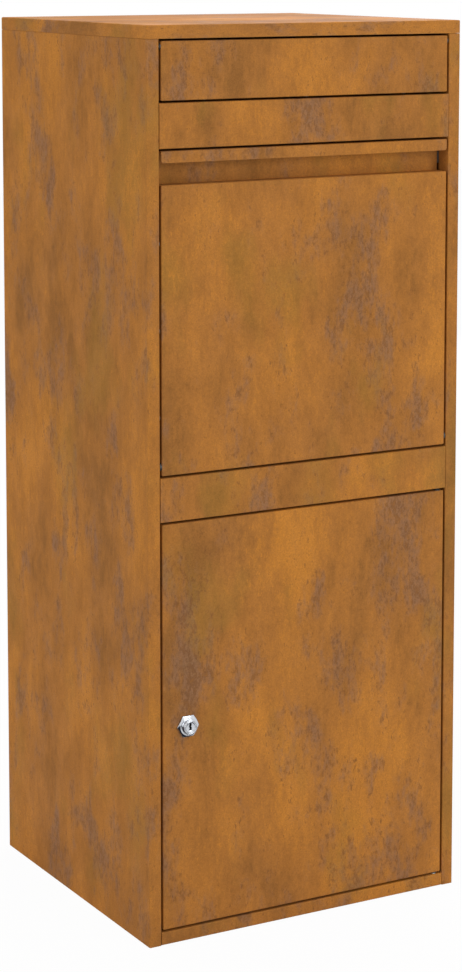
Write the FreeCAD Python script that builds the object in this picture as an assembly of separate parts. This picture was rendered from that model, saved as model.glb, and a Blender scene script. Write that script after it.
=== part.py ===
"""Free-standing parcel and letter box in folded sheet steel.

Own frame: +Z up, origin on the floor at the middle of the cabinet, front face towards -Y, +X to the right.
All sizes are in millimetres. Each function below makes one piece, and each piece is written to parts/.
"""

import FreeCAD, Part
import math
import os

from FreeCAD import Vector

# ---- Driving dimensions -------------------------------------------------------------------------

# Cabinet
cabinet_width = 410.0
cabinet_depth = 380.0
cabinet_height = 1035.0
roof_height = 15.0
base_height = 15.0
frame_strip = 15.0          # visible upright strip each side of the front
rear_flange = 20.0
top_flange = 12.0
sheet = 1.2                 # outer panels
inner_sheet = 1.0           # pieces inside the cabinet
bend_radius = 0.3           # inside radius of a fold
panel_gap = 2.5             # shadow gap round each moving panel
joint_gap = 0.4             # hairline joint where a fixed rail or the roof meets a side panel
fit = 0.2                   # clearance between fixed pieces that nest
rest_gap = 0.3              # clearance between a moving piece and what it comes to rest on

# Front, from the top down; the retrieval door takes the height that is left
flap_height = 65.0
upper_rail_height = 50.0
drop_door_height = 360.0
middle_rail_height = 50.0

# Panels of the moving fronts
flap_depth = 12.0
drop_door_depth = 14.0
door_depth = 15.0           # without its liner
liner_clearance = 1.0       # between a liner's edge and the folds that it lies within

# Pull lip and grip recess along the drop door's top
lip_height = 13.0
lip_corner = 3.0
grip_opening = 24.5
grip_depth = 20.0

# Drop door hinge and hopper
drop_angle = 55.0           # how far the drop door tips out
drop_axis_lift = 10.0       # axis above the door's bottom edge
drop_pin_radius = 3.0
drop_bush_wall = 0.8
drop_head_step = 0.8        # how far the pin's head stands out past its shank
drop_head_length = 2.2
hinge_plate = 3.0
hinge_plate_height = 34.0
drop_thread_radius = 2.5
hinge_nut_flats = 8.0
hinge_nut_height = 4.5
tray_length = 255.0
tray_lift = 2.0             # fold of the tray above the hinge axis
tray_flange = 14.0
tray_side = 10.0
tray_lip = 8.0
cheek_radius = 244.0
cheek_top_angle = 30.0
cheek_shoulder = 40.0
hopper_clearance = 10.0     # between the tray's tip and the baffle
stop_plate = 2.0
stop_width = 31.0
buffer_height = 3.0

# Letter way
flap_axis_drop = 6.0
flap_turn_clearance = 0.8   # between the turning flap's top fold and the roof
flap_rod_radius = 2.0
clip_wall = 1.0
clip_thickness = 0.8
stop_bar = 1.5
stop_bar_lip = 14.0
stop_bar_overhang = 7.0     # how far the stop bar reaches behind each strip
chute_fall = 148.0
baffle_side = 15.0

# Retrieval door hinge
door_axis_edge = 7.0
door_pin_radius = 2.5
door_pin_reach = 14.0       # length of a pin inside the door
door_head_step = 1.0
door_head_height = 2.5
washer_thickness = 0.9

# Bushes
running_clearance = 0.05
bush_wall = 1.0
bush_clearance = 0.25       # between a bush and the panel in front of it
bush_flange = 0.8           # how far a bush's flange stands out past its body

# Cam lock
lock_edge = 31.0            # lock centre from the door's free edge
lock_hex_flats = 24.0
lock_hex_height = 3.5
lock_face_radius = 8.25
lock_face_height = 4.0
lock_barrel_radius = 9.0
lock_nut_height = 4.0
plug_radius = 6.0
plug_recess = 0.3
keyway_width = 1.8
keyway_height = 7.5
keyway_depth = 6.0
cam_length = 42.0
cam_width = 14.0
cam_thickness = 2.5
cam_gap = 1.7               # between the cam and the strike plate
cam_screw_radius = 2.5
cam_screw_head = 4.5
cam_screw_head_height = 2.6
cam_screw_reach = 9.0
strike_height = 60.0

# Rubber bumpers and what carries them
bumper_radius = 4.5
bumper_height = 2.2
rest_width = 12.0
rest_height = 22.0
stop_strip = 1.5            # thickness of the flat bar that the retrieval door closes against

# Fasteners
rivet_radius = 1.6
rivet_head_radius = 3.2
rivet_head_height = 0.9
rivet_tail_radius = 2.3
rivet_tail_length = 1.3
rivet_crown_share = 0.6     # rounding of a rivet's head, as a share of its height
screw_radius = 2.0
screw_head_radius = 3.8
screw_length = 9.0
hex_head_flats = 7.0
hex_head_height = 2.8

# Places of the fasteners, as shares of the width, depth or height that they are spread over
rail_rivet_shares = (0.25, 0.75)
cheek_rivet_shares = (0.2, 0.5, 0.8)
tray_rivet_shares = (-0.75, -0.25, 0.25, 0.75)
chute_rivet_shares = (-0.6, 0, 0.6)
flap_rivet_shares = (-0.7, 0, 0.7)
roof_screw_shares = (-0.25, 0.07, 0.38)
back_screw_shares = (0.04, 0.27, 0.5, 0.73, 0.96)
liner_rivet_shares = (0.12, 0.5, 0.88)
stiffener_share = 0.55      # of the door's half width
stiffener_half_width = 15.0
stiffener_foot = 12.0
fold_line = 0.6             # a rivet's place across the fold that it goes through

# Fixing holes for the installer
anchor_radius = 5.0
anchor_spacing_x = 300.0
anchor_spacing_y = 260.0
wall_hole_radius = 4.5
wall_spacing_x = 280.0
wall_spacing_z = 400.0
wall_hole_bottom = 100.0

# ---- Levels and faces worked out from them -------------------------------------------------------

front = -cabinet_depth / 2
rear = cabinet_depth / 2
outer_x = cabinet_width / 2
inner_x = outer_x - sheet
opening_x = outer_x - frame_strip
panel_x = opening_x - panel_gap
nested_x = inner_x - fit
rail_x = opening_x - joint_gap
door_back = front + door_depth
door_stop_front = door_back + inner_sheet + rest_gap + bumper_height
return_back = door_stop_front + stop_strip
frame_return = return_back - front      # depth of the fold behind each strip, and of the fixed rails
return_hidden_x = opening_x + sheet

roof_bottom = cabinet_height - roof_height
flap_top = roof_bottom - panel_gap
flap_bottom = flap_top - flap_height
upper_rail_top = flap_bottom - panel_gap
upper_rail_bottom = upper_rail_top - upper_rail_height
drop_top = upper_rail_bottom - panel_gap
drop_bottom = drop_top - drop_door_height
middle_rail_top = drop_bottom - panel_gap
middle_rail_bottom = middle_rail_top - middle_rail_height
door_top = middle_rail_bottom - panel_gap
door_bottom = base_height + panel_gap
recess_top = drop_top - lip_height
recess_bottom = recess_top - grip_opening
recess_face = front + grip_depth

drop_bush_radius = drop_pin_radius + running_clearance + drop_bush_wall
drop_axis_inset = sheet + bush_clearance + drop_bush_radius     # axis behind the front face
drop_axis_y = front + drop_axis_inset
drop_axis_z = drop_bottom + drop_axis_lift
drop_back = front + drop_door_depth
liner_back = drop_back + inner_sheet
cheek_outer_x = panel_x - sheet
cheek_inner_x = cheek_outer_x - inner_sheet
hopper_x = cheek_inner_x - fit

flap_bush_radius = flap_rod_radius + running_clearance + bush_wall
flap_axis_inset = sheet + bush_clearance + flap_bush_radius
flap_axis_y = front + flap_axis_inset
flap_axis_z = flap_top - flap_axis_drop
stop_bar_front = return_back + rest_gap

door_axis_x = panel_x - door_axis_edge
door_bush_radius = door_pin_radius + running_clearance + bush_wall
door_axis_inset = sheet + bush_clearance + door_bush_radius
door_axis_y = front + door_axis_inset

lock_x = -panel_x + lock_edge
lock_z = (door_bottom + door_top) / 2
strike_back = return_back
cam_front = strike_back + cam_gap

back_panel_rear = rear - sheet
back_panel_front = back_panel_rear - sheet

X_AXIS = Vector(1, 0, 0)
Y_AXIS = Vector(0, 1, 0)
Z_AXIS = Vector(0, 0, 1)
SIDES = (-1, 1)


# ---- Shape helpers --------------------------------------------------------------------------------


def block(x0, x1, y0, y1, z0, z1):
    """Box between two limits on each axis, given in either order."""
    low = Vector(min(x0, x1), min(y0, y1), min(z0, z1))
    return Part.makeBox(abs(x1 - x0), abs(y1 - y0), abs(z1 - z0), low)


def rod(start, end, radius):
    """Cylinder from one point to another."""
    along = end - start
    return Part.makeCylinder(radius, along.Length, start, along)


def tube(start, end, outer_radius, bore_radius):
    """Cylinder with a bore through it."""
    return rod(start, end, outer_radius).cut(rod(start, end, bore_radius))


def hex_prism(start, end, across_flats, turn=0.0):
    """Hexagonal bar from start to end; turn is the angle of its first corner."""
    along = end - start
    corner_radius = across_flats / math.sqrt(3)
    corners = []
    for corner in range(7):
        angle = math.radians(turn + 60 * corner)
        corners.append(Vector(corner_radius * math.cos(angle), corner_radius * math.sin(angle), 0))
    prism = Part.Face(Part.makePolygon(corners)).extrude(Vector(0, 0, along.Length))
    prism.Placement = FreeCAD.Placement(start, FreeCAD.Rotation(Z_AXIS, along))
    return prism


def joined(shapes):
    """One solid from several that touch or overlap."""
    shapes = list(shapes)
    return shapes[0].multiFuse(shapes[1:]).removeSplitter()


def drilled(shape, tools):
    """The shape with every tool cut out of it."""
    for tool in tools:
        shape = shape.cut(tool)
    return shape


def rounded_path(corners, radii):
    """Edges along a line of corners, each inner corner rounded to its own radius."""
    edges = []
    start = corners[0]
    for before, corner, after, radius in zip(corners, corners[1:], corners[2:], radii):
        incoming = (corner - before).normalize()
        outgoing = (after - corner).normalize()
        half_turn = incoming.getAngle(outgoing) / 2
        reach = radius * math.tan(half_turn)
        first = corner - incoming * reach
        last = corner + outgoing * reach
        inward = (outgoing - incoming).normalize()
        middle = corner + inward * (radius / math.cos(half_turn) - radius)
        edges.append(Part.makeLine(start, first))
        edges.append(Part.Arc(first, middle, last).toShape())
        start = last
    edges.append(Part.makeLine(start, corners[-1]))
    return edges


def folded(points, thickness, along):
    """Folded sheet: points follow one face of its section, with the metal to their left seen from its end."""
    axis = Vector(along).normalize()
    heads = [(b - a).normalize() for a, b in zip(points, points[1:])]
    normals = [axis.cross(head) for head in heads]
    back = [points[0] + normals[0] * thickness]
    face_radii = []
    back_radii = []
    folds = zip(points[1:], heads, heads[1:], normals, normals[1:])
    for corner, before, after, left_in, left_out in folds:
        half_turn = before.getAngle(after) / 2
        mitre = (left_in + left_out).normalize()
        back.append(corner + mitre * (thickness / math.cos(half_turn)))
        turns_left = axis.dot(before.cross(after)) > 0
        face_radii.append(bend_radius + thickness if turns_left else bend_radius)
        back_radii.append(bend_radius if turns_left else bend_radius + thickness)
    back.append(points[-1] + normals[-1] * thickness)
    edges = rounded_path(points, face_radii) + rounded_path(back, back_radii)
    edges.append(Part.makeLine(points[0], back[0]))
    edges.append(Part.makeLine(points[-1], back[-1]))
    wire = Part.Wire(Part.__sortEdges__(edges))
    return Part.Face(wire).extrude(along)


def folded_across(points_yz, thickness, half_width):
    """Folded sheet with a constant section across the cabinet, centred on X = 0."""
    points = [Vector(-half_width, y, z) for y, z in points_yz]
    return folded(points, thickness, X_AXIS * (2 * half_width))


def folded_upright(points_xy, thickness, z0, z1):
    """Folded sheet with a constant section from one height to another."""
    points = [Vector(x, y, z0) for x, y in points_xy]
    return folded(points, thickness, Z_AXIS * (z1 - z0))


def front_pan(half_width, z0, z1, depth, thickness):
    """Front panel with four edges folded back, open to the rear, its visible edges rounded by the folds."""
    outer = block(-half_width, half_width, front, front + depth, z0, z1)
    behind = front + depth

    def is_open_edge(edge):
        return all(abs(vertex.Point.y - behind) < fit for vertex in edge.Vertexes)

    visible = [edge for edge in outer.Edges if not is_open_edge(edge)]
    outer = outer.makeFillet(bend_radius + thickness, visible)
    inner_front = front + thickness
    inner_x_limit = half_width - thickness
    hollow = block(-inner_x_limit, inner_x_limit, inner_front, behind + depth, z0 + thickness, z1 - thickness)
    return outer.cut(hollow)


def mirrored(shape):
    """The same piece for the other side of the cabinet."""
    return shape.mirror(Vector(0, 0, 0), X_AXIS)


def on_side(shape_for_left, side):
    """A piece drawn for the left side, put on the side asked for."""
    return shape_for_left if side < 0 else mirrored(shape_for_left)


def about_drop_axis(point_y, point_z, angle):
    """Where a point given from the drop door's axis lies after the door tips out by an angle."""
    turn = math.radians(angle)
    y = point_y * math.cos(turn) - point_z * math.sin(turn)
    z = point_y * math.sin(turn) + point_z * math.cos(turn)
    return y, z


def rivet(at, outwards, grip):
    """Blind rivet: low head on the surface at a point, shank through the grip, upset tail behind."""
    outwards = Vector(outwards).normalize()
    head = rod(at, at + outwards * rivet_head_height, rivet_head_radius)
    crown = [edge for edge in head.Edges if edge.Curve.TypeId == "Part::GeomCircle"
             and (edge.Curve.Center - at).Length > rivet_head_height / 2]
    head = head.makeFillet(rivet_head_height * rivet_crown_share, crown)
    shank = rod(at, at - outwards * grip, rivet_radius)
    tail = rod(at - outwards * grip, at - outwards * (grip + rivet_tail_length), rivet_tail_radius)
    return joined([head, shank, tail])


def rivet_hole(at, outwards, grip):
    """Hole that a rivet of the same place and grip fills."""
    outwards = Vector(outwards).normalize()
    return rod(at + outwards * grip, at - outwards * (2 * grip), rivet_radius)


def countersunk_screw(at, inwards, length):
    """Flush screw: its cone starts at the surface point and narrows to the shank."""
    cone_depth = screw_head_radius - screw_radius
    cone = Part.makeCone(screw_head_radius, screw_radius, cone_depth, at, inwards)
    shank = rod(at + inwards * cone_depth, at + inwards * length, screw_radius)
    return joined([cone, shank])


def flanged_bush(at, outwards, body_length, flange_thickness, bore_radius):
    """Plain bush: body inside the sheet at a surface point, flange standing on that surface."""
    body_radius = bore_radius + bush_wall
    body = rod(at - outwards * body_length, at, body_radius)
    flange = rod(at, at + outwards * flange_thickness, body_radius + bush_flange)
    bore = rod(at - outwards * body_length, at + outwards * flange_thickness, bore_radius)
    return joined([body, flange]).cut(bore)


# ---- Places shared by pieces that are fastened together --------------------------------------------


def rail_rivet_places(z0, z1):
    """Two rivets in each end tab of a rail; each is a point on the tab's inner face and its direction."""
    places = []
    for side in SIDES:
        for share in rail_rivet_shares:
            z = z0 + (z1 - z0) * share
            x = side * (rail_x - sheet)
            places.append((Vector(x, front + frame_return * fold_line, z), Vector(-side, 0, 0)))
    return places


def rail_rivet_grip():
    """Rail tab, hairline joint and strip return."""
    return sheet + joint_gap + sheet


def all_rail_rivets():
    upper = rail_rivet_places(upper_rail_bottom, upper_rail_top)
    middle = rail_rivet_places(middle_rail_bottom, middle_rail_top)
    return upper + middle


def cheek_rivet_places():
    """Rivets that hold each hopper cheek to the drop door's side folds."""
    places = []
    y = (front + sheet + drop_back) / 2
    for side in SIDES:
        for share in cheek_rivet_shares:
            z = drop_bottom + (recess_bottom - drop_bottom) * share
            places.append((Vector(side * panel_x, y, z), Vector(side, 0, 0)))
    return places


def tray_rivet_places():
    """Rivets through the liner and the tray's upright flange."""
    z = drop_axis_z + tray_lift + tray_flange * fold_line
    y = liner_back + inner_sheet
    return [(Vector(share * hopper_x, y, z), Y_AXIS) for share in tray_rivet_shares]


def chute_rivet_places():
    """Rivets through the chute's end flange and the top of the baffle."""
    z = chute_end_z() - baffle_side / 2
    y = baffle_front() - inner_sheet
    return [(Vector(share * nested_x, y, z), -Y_AXIS) for share in chute_rivet_shares]


def flap_rivet_places():
    """Rivets through the flap's bottom fold and its stop bar."""
    y = front + flap_depth * fold_line
    return [(Vector(share * panel_x, y, flap_bottom), -Z_AXIS) for share in flap_rivet_shares]


def roof_screw_places():
    """Screws up through each side panel's top flange into the roof."""
    x = inner_x - top_flange / 2
    return [Vector(side * x, share * cabinet_depth, roof_bottom)
            for side in SIDES for share in roof_screw_shares]


def back_screw_places():
    """Flush screws through the side panels' rear flanges."""
    x = outer_x - rear_flange / 2
    return [Vector(side * x, rear, share * roof_bottom) for side in SIDES for share in back_screw_shares]


def tray_corner():
    """Fold of the tray with the door shut, from the drop door's axis."""
    return liner_back - drop_axis_y, tray_lift


def tray_slope():
    """Direction of the tray with the door shut: it lies level when the door is tipped out."""
    angle = math.radians(90 + drop_angle)
    return math.sin(angle), math.cos(angle)


def tip_radius():
    """Largest distance from the drop door's axis to the tray's tip."""
    y, z = tray_corner()
    along_y, along_z = tray_slope()
    return math.hypot(y + along_y * tray_length, z + along_z * tray_length) + inner_sheet


def baffle_front():
    return drop_axis_y + tip_radius() + hopper_clearance


def baffle_bottom():
    """Just above the level tray of the opened hopper."""
    y, z = about_drop_axis(*tray_corner(), drop_angle)
    return drop_axis_z + z + inner_sheet + buffer_height


def chute_start_z():
    """Underside of the chute where it lies under the upper rail's top fold."""
    return upper_rail_top - sheet - inner_sheet


def chute_end_z():
    return chute_start_z() - chute_fall


def hex_centre(y):
    return Vector(lock_x, y, lock_z)


# ---- Cabinet --------------------------------------------------------------------------------------


def side_panel(side):
    """Side wall folded round the front strip and its return, with a rear flange and a top flange.

    The wall stops a hairline under the roof, which rests on the top flange.
    """
    section = [
        (-outer_x + rear_flange, rear),
        (-outer_x, rear),
        (-outer_x, front),
        (-opening_x, front),
        (-opening_x, return_back),
    ]
    wall = folded_upright(section, sheet, 0, roof_bottom - joint_gap)
    flange = block(-inner_x - sheet / 2, -inner_x + top_flange, return_back + rest_gap,
                   back_panel_front - fit, roof_bottom - sheet, roof_bottom)
    panel = on_side(joined([wall, flange]), side)
    tools = [rivet_hole(at, out, rail_rivet_grip()) for at, out in all_rail_rivets() if at.x * side > 0]
    tools += [rod(at - Z_AXIS * (2 * sheet), at + Z_AXIS, screw_radius) for at in roof_screw_places()
              if at.x * side > 0]
    tools += [countersunk_screw(at, -Y_AXIS, screw_length) for at in back_screw_places() if at.x * side > 0]
    near = Vector(side * (opening_x - sheet), drop_axis_y, drop_axis_z)
    tools.append(rod(near, near + X_AXIS * (side * 3 * sheet), drop_pin_radius))
    near = Vector(side * (opening_x - sheet), flap_axis_y, flap_axis_z)
    tools.append(rod(near, near + X_AXIS * (side * 3 * sheet), flap_rod_radius))
    return drilled(panel, tools)


def back_panel():
    """Rear wall inside the side panels' flanges, with four holes for fixing to a wall."""
    half_width = nested_x - bend_radius
    plate = block(-half_width, half_width, back_panel_front, back_panel_rear, fit, roof_bottom - fit)
    tools = [countersunk_screw(at, -Y_AXIS, screw_length) for at in back_screw_places()]
    for side in SIDES:
        for z in (wall_hole_bottom, wall_hole_bottom + wall_spacing_z):
            near = Vector(side * wall_spacing_x / 2, back_panel_front - sheet, z)
            tools.append(rod(near, near + Y_AXIS * (4 * sheet), wall_hole_radius))
    return drilled(plate, tools)


def base_pan():
    """Floor with a folded-up front rail; the rail's top fold holds the retrieval door's lower pin."""
    section = [
        (return_back, base_height),
        (front, base_height),
        (front, 0),
        (return_back + frame_strip, 0),
    ]
    rail = folded_across(section, sheet, rail_x)
    pan_front = return_back + fit
    floor = block(-nested_x, nested_x, pan_front, back_panel_front, 0, sheet)
    walls = [block(side * nested_x, side * (nested_x - sheet), pan_front, back_panel_front, 0, base_height)
             for side in SIDES]
    walls.append(block(-nested_x, nested_x, back_panel_front - sheet, back_panel_front, 0, base_height))
    tools = [rod(Vector(side_x * anchor_spacing_x / 2, side_y * anchor_spacing_y / 2, -sheet),
                 Vector(side_x * anchor_spacing_x / 2, side_y * anchor_spacing_y / 2, 2 * sheet),
                 anchor_radius)
             for side_x in SIDES for side_y in SIDES]
    tools.append(rod(Vector(door_axis_x, door_axis_y, base_height - 2 * sheet),
                     Vector(door_axis_x, door_axis_y, base_height + sheet), door_pin_radius))
    return drilled(joined([rail, floor] + walls), tools)


def roof_cap():
    """Shallow lid with its four edges folded down and in, so that it sits on the side panels."""
    outer = block(-outer_x, outer_x, front, rear, roof_bottom, cabinet_height)

    def is_under(edge):
        return all(abs(vertex.Point.z - roof_bottom) < fit for vertex in edge.Vertexes)

    visible = [edge for edge in outer.Edges if not is_under(edge)]
    outer = outer.makeFillet(bend_radius + sheet, visible)
    hollow = block(-inner_x, inner_x, front + sheet, rear - sheet,
                   roof_bottom + sheet, cabinet_height - sheet)
    mouth = block(-opening_x, opening_x, front + frame_strip, rear - frame_strip,
                  roof_bottom - sheet, roof_bottom + 2 * sheet)
    holes = [rod(at - Z_AXIS, at + Z_AXIS * (2 * sheet), screw_radius) for at in roof_screw_places()]
    return drilled(outer, [hollow, mouth] + holes)


def front_rail(z0, z1):
    """Fixed rail: a channel with folds along its top and bottom and a tab at each end."""
    section = [(return_back, z1), (front, z1), (front, z0), (return_back, z0)]
    channel = folded_across(section, sheet, rail_x)
    tab_z0 = z0 + 3 * sheet
    tab_z1 = z1 - 3 * sheet
    tab_y0 = front + sheet / 2
    tab_y1 = return_back - rest_gap
    tabs = [block(side * rail_x, side * (rail_x - sheet), tab_y0, tab_y1, tab_z0, tab_z1) for side in SIDES]
    rail = joined([channel] + tabs)
    return drilled(rail, [rivet_hole(at, out, rail_rivet_grip()) for at, out in rail_rivet_places(z0, z1)])


def upper_front_rail():
    return front_rail(upper_rail_bottom, upper_rail_top)


def middle_front_rail():
    """Rail between the two doors; its lower fold holds the retrieval door's upper pin."""
    rail = front_rail(middle_rail_bottom, middle_rail_top)
    near = Vector(door_axis_x, door_axis_y, middle_rail_bottom - sheet)
    return rail.cut(rod(near, near + Z_AXIS * (3 * sheet), door_pin_radius))


def letter_chute():
    """Slide that carries letters from the flap over the hopper to the channel at the back."""
    end_y = baffle_front() - inner_sheet
    bend_y = return_back + 2 * rest_gap
    section = [
        (front + frame_strip / 3, chute_start_z()),
        (bend_y, chute_start_z()),
        (end_y, chute_end_z()),
        (end_y, chute_end_z() - baffle_side),
    ]
    sheet_shape = folded_across(section, inner_sheet, nested_x)
    above = chute_start_z() + sheet
    notches = [block(side * (rail_x - sheet - fit), side * outer_x, front, return_back + rest_gap,
                     chute_end_z(), above) for side in SIDES]
    holes = [rivet_hole(at, out, 2 * inner_sheet) for at, out in chute_rivet_places()]
    return drilled(sheet_shape, notches + holes)


def anti_theft_baffle():
    """Upright plate behind the hopper: it stops a hand that reaches over the level tray."""
    y = baffle_front()
    section = [(-nested_x, y + baffle_side), (-nested_x, y), (nested_x, y), (nested_x, y + baffle_side)]
    plate = folded_upright(section, inner_sheet, baffle_bottom(), chute_end_z() - fit)
    return drilled(plate, [rivet_hole(at, out, 2 * inner_sheet) for at, out in chute_rivet_places()])


def hopper_stop_level():
    """Underside of the stop plates, a buffer's height above the level tray."""
    y, z = about_drop_axis(*tray_corner(), drop_angle)
    return drop_axis_z + z + inner_sheet + rest_gap + buffer_height


def hopper_stop_near():
    """Front edge of the stop plates, clear of the cheeks' round edge."""
    return drop_axis_y + cheek_radius + 4 * inner_sheet


def hopper_stop(side):
    """Angle bracket on the side wall that ends the drop door's travel."""
    level = hopper_stop_level()
    far = baffle_front() - 2 * rest_gap
    shelf = block(-nested_x, -nested_x + stop_width, hopper_stop_near(), far, level, level + stop_plate)
    leg = block(-inner_x, -inner_x + stop_plate, hopper_stop_near(), far, level, level + stop_width)
    return on_side(joined([shelf, leg]), side)


def hopper_stop_buffers():
    """Rubber pads under the stop plates."""
    level = hopper_stop_level()
    near_x = nested_x - stop_width
    far_y = hopper_stop_near() + 3 * buffer_height
    return [block(side * near_x, side * (cheek_inner_x - 2 * inner_sheet), hopper_stop_near(), far_y,
                  level - buffer_height, level) for side in SIDES]


def rest_bracket_z():
    """The drop door's rests stand behind the middle of its pull lip and recess."""
    middle = (recess_bottom + drop_top) / 2
    return middle - rest_height / 2, middle + rest_height / 2


def drop_door_rests():
    """Angle brackets behind the strips that the closed drop door comes to rest on."""
    y = recess_face + sheet + rest_gap + bumper_height
    z0, z1 = rest_bracket_z()
    section = [
        (-return_hidden_x, front + 3 * sheet),
        (-return_hidden_x, y),
        (-opening_x + rest_width, y),
    ]
    left = folded_upright(section, sheet, z0, z1)
    return [on_side(left, side) for side in SIDES]


def drop_door_bumpers():
    """Rubber discs on the rests."""
    y = recess_face + sheet + rest_gap
    z0, z1 = rest_bracket_z()
    x = opening_x - rest_width / 2 - panel_gap / 2
    return [rod(Vector(side * x, y, (z0 + z1) / 2), Vector(side * x, y + bumper_height, (z0 + z1) / 2),
                bumper_radius) for side in SIDES]


def door_stop_strip():
    """Flat bar along the left strip's return that the retrieval door closes against."""
    return block(-opening_x, -opening_x + rest_width, door_stop_front, return_back,
                 door_bottom + rest_height, door_top - rest_height)


def door_bumper_heights():
    spread = door_top - door_bottom - 4 * rest_height
    return [door_bottom + 2 * rest_height + spread * share for share in (0, 0.5, 1)]


def door_bumpers():
    """Rubber discs on the door's stop strip."""
    x = -opening_x + rest_width / 2 + panel_gap / 2
    y = door_stop_front
    return [rod(Vector(x, y - bumper_height, z), Vector(x, y, z), bumper_radius)
            for z in door_bumper_heights()]


def lock_strike():
    """Angle behind the left strip: the cam turns behind its wide leg."""
    section = [
        (-return_hidden_x, front + 3 * sheet),
        (-return_hidden_x, strike_back),
        (-nested_x, strike_back),
    ]
    return folded_upright(section, sheet, lock_z - strike_height / 2, lock_z + strike_height / 2)


def drop_hinge_plate(side):
    """Thick plate behind the strip's return that takes the drop door's pin."""
    x = side * return_hidden_x
    half_height = hinge_plate_height / 2
    plate = block(x, x + side * hinge_plate, front + sheet + fit, return_back,
                  drop_axis_z - half_height, drop_axis_z + half_height)
    near = Vector(x - side, drop_axis_y, drop_axis_z)
    return plate.cut(rod(near, near + X_AXIS * (side * 2 * hinge_plate), drop_pin_radius))


def drop_hinge_pin(side):
    """Shoulder pin: head inside the hopper's cheek, shank through the bush, the strip and its plate."""
    head_outer = cheek_inner_x - rest_gap
    centre = Vector(0, drop_axis_y, drop_axis_z)
    along = X_AXIS * side
    head_inner = head_outer - drop_head_length
    head = rod(centre + along * head_inner, centre + along * head_outer, drop_pin_radius + drop_head_step)
    shoulder = return_hidden_x + hinge_plate
    thread_end = shoulder + hinge_nut_height + sheet
    shank = rod(centre + along * head_inner, centre + along * shoulder, drop_pin_radius)
    thread = rod(centre + along * shoulder, centre + along * thread_end, drop_thread_radius)
    return joined([head, shank, thread])


def drop_hinge_nuts():
    """Hexagon nuts that clamp the pins to the hinge plates."""
    nuts = []
    for side in SIDES:
        along = X_AXIS * side
        start = Vector(0, drop_axis_y, drop_axis_z) + along * (return_hidden_x + hinge_plate)
        end = start + along * hinge_nut_height
        nuts.append(hex_prism(start, end, hinge_nut_flats).cut(rod(start, end, drop_thread_radius)))
    return nuts


def door_hinge_pin(top):
    """Upright pin of the retrieval door, its head inside the rail that holds it."""
    surface = middle_rail_bottom if top else base_height
    into_door = -1 if top else 1
    centre = Vector(door_axis_x, door_axis_y, surface - into_door * sheet)
    head_end = centre - Z_AXIS * (into_door * door_head_height)
    head = rod(centre, head_end, door_pin_radius + door_head_step)
    tip = centre + Z_AXIS * (into_door * (sheet + panel_gap + door_pin_reach))
    return joined([head, rod(centre, tip, door_pin_radius)])


def door_washer():
    """Washer under the retrieval door's lower bush."""
    low = Vector(door_axis_x, door_axis_y, base_height)
    return tube(low, low + Z_AXIS * washer_thickness, door_pin_radius + door_head_step, door_pin_radius)


def flap_rod():
    """Rod across the opening that the letter flap hangs on."""
    reach = return_hidden_x + 3 * clip_thickness
    centre = Vector(0, flap_axis_y, flap_axis_z)
    return rod(centre - X_AXIS * reach, centre + X_AXIS * reach, flap_rod_radius)


def flap_rod_clips():
    """Clips that keep the rod from sliding out of the strips."""
    clips = []
    for side in SIDES:
        start = Vector(side * return_hidden_x, flap_axis_y, flap_axis_z)
        end = start + X_AXIS * (side * clip_thickness)
        clips.append(tube(start, end, flap_rod_radius + clip_wall, flap_rod_radius))
    return clips


def rail_rivets():
    return [rivet(at, out, rail_rivet_grip()) for at, out in all_rail_rivets()]


def chute_rivets():
    return [rivet(at, out, 2 * inner_sheet) for at, out in chute_rivet_places()]


def back_panel_screws():
    return [countersunk_screw(at, -Y_AXIS, screw_length) for at in back_screw_places()]


def roof_screws():
    """Hexagon head screws under the side panels' top flanges."""
    screws = []
    for at in roof_screw_places():
        under = at - Z_AXIS * sheet
        head = hex_prism(under - Z_AXIS * hex_head_height, under, hex_head_flats)
        shank = rod(under, under + Z_AXIS * screw_length, screw_radius)
        screws.append(joined([head, shank]))
    return screws


# ---- Drop door with its hopper ----------------------------------------------------------------------


def drop_door_skin():
    """Front panel, grip recess and pull lip of the drop door, folded from one sheet."""
    panel = front_pan(panel_x, drop_bottom, recess_bottom, drop_door_depth, sheet)
    back = recess_face + sheet
    floor_under = recess_bottom - sheet
    section = [
        (drop_back - 2 * sheet, floor_under),
        (back, floor_under),
        (back, drop_top),
        (front, drop_top),
        (front, recess_top),
    ]
    grip = folded_across(section, sheet, panel_x)

    def is_lip_corner(edge):
        middle = edge.CenterOfMass
        at_end = abs(abs(middle.x) - panel_x) < fit
        return at_end and abs(middle.z - recess_top) < fit and middle.y < front + sheet

    grip = grip.makeFillet(lip_corner, [edge for edge in grip.Edges if is_lip_corner(edge)])
    tools = [rivet_hole(at, out, sheet + inner_sheet) for at, out in cheek_rivet_places()]
    tools += drop_bush_holes()
    return drilled(joined([panel, grip]), tools)


def drop_bush_holes():
    """Holes for the hinge bushes, through the door's side folds and the cheeks."""
    holes = []
    for side in SIDES:
        near = Vector(side * (cheek_inner_x - inner_sheet), drop_axis_y, drop_axis_z)
        holes.append(rod(near, near + X_AXIS * (side * 4 * sheet), drop_bush_radius))
    return holes


def drop_door_liner():
    """Flat inner face of the drop door."""
    low = drop_bottom + sheet + liner_clearance
    high = recess_bottom - sheet - liner_clearance
    plate = block(-hopper_x, hopper_x, drop_back, liner_back, low, high)
    return drilled(plate, [rivet_hole(at, out, 2 * inner_sheet) for at, out in tray_rivet_places()])


def tray_section():
    """Tray's underside from its upright flange, down the slope, to its folded tip."""
    corner_y, corner_z = tray_corner()
    along_y, along_z = tray_slope()
    y = drop_axis_y + corner_y
    z = drop_axis_z + corner_z
    tip_y = y + along_y * tray_length
    tip_z = z + along_z * tray_length
    lip_end = (tip_y + along_z * tray_lip, tip_z - along_y * tray_lip)
    return [(y, z + tray_flange), (y, z), (tip_y, tip_z), lip_end]


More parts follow.
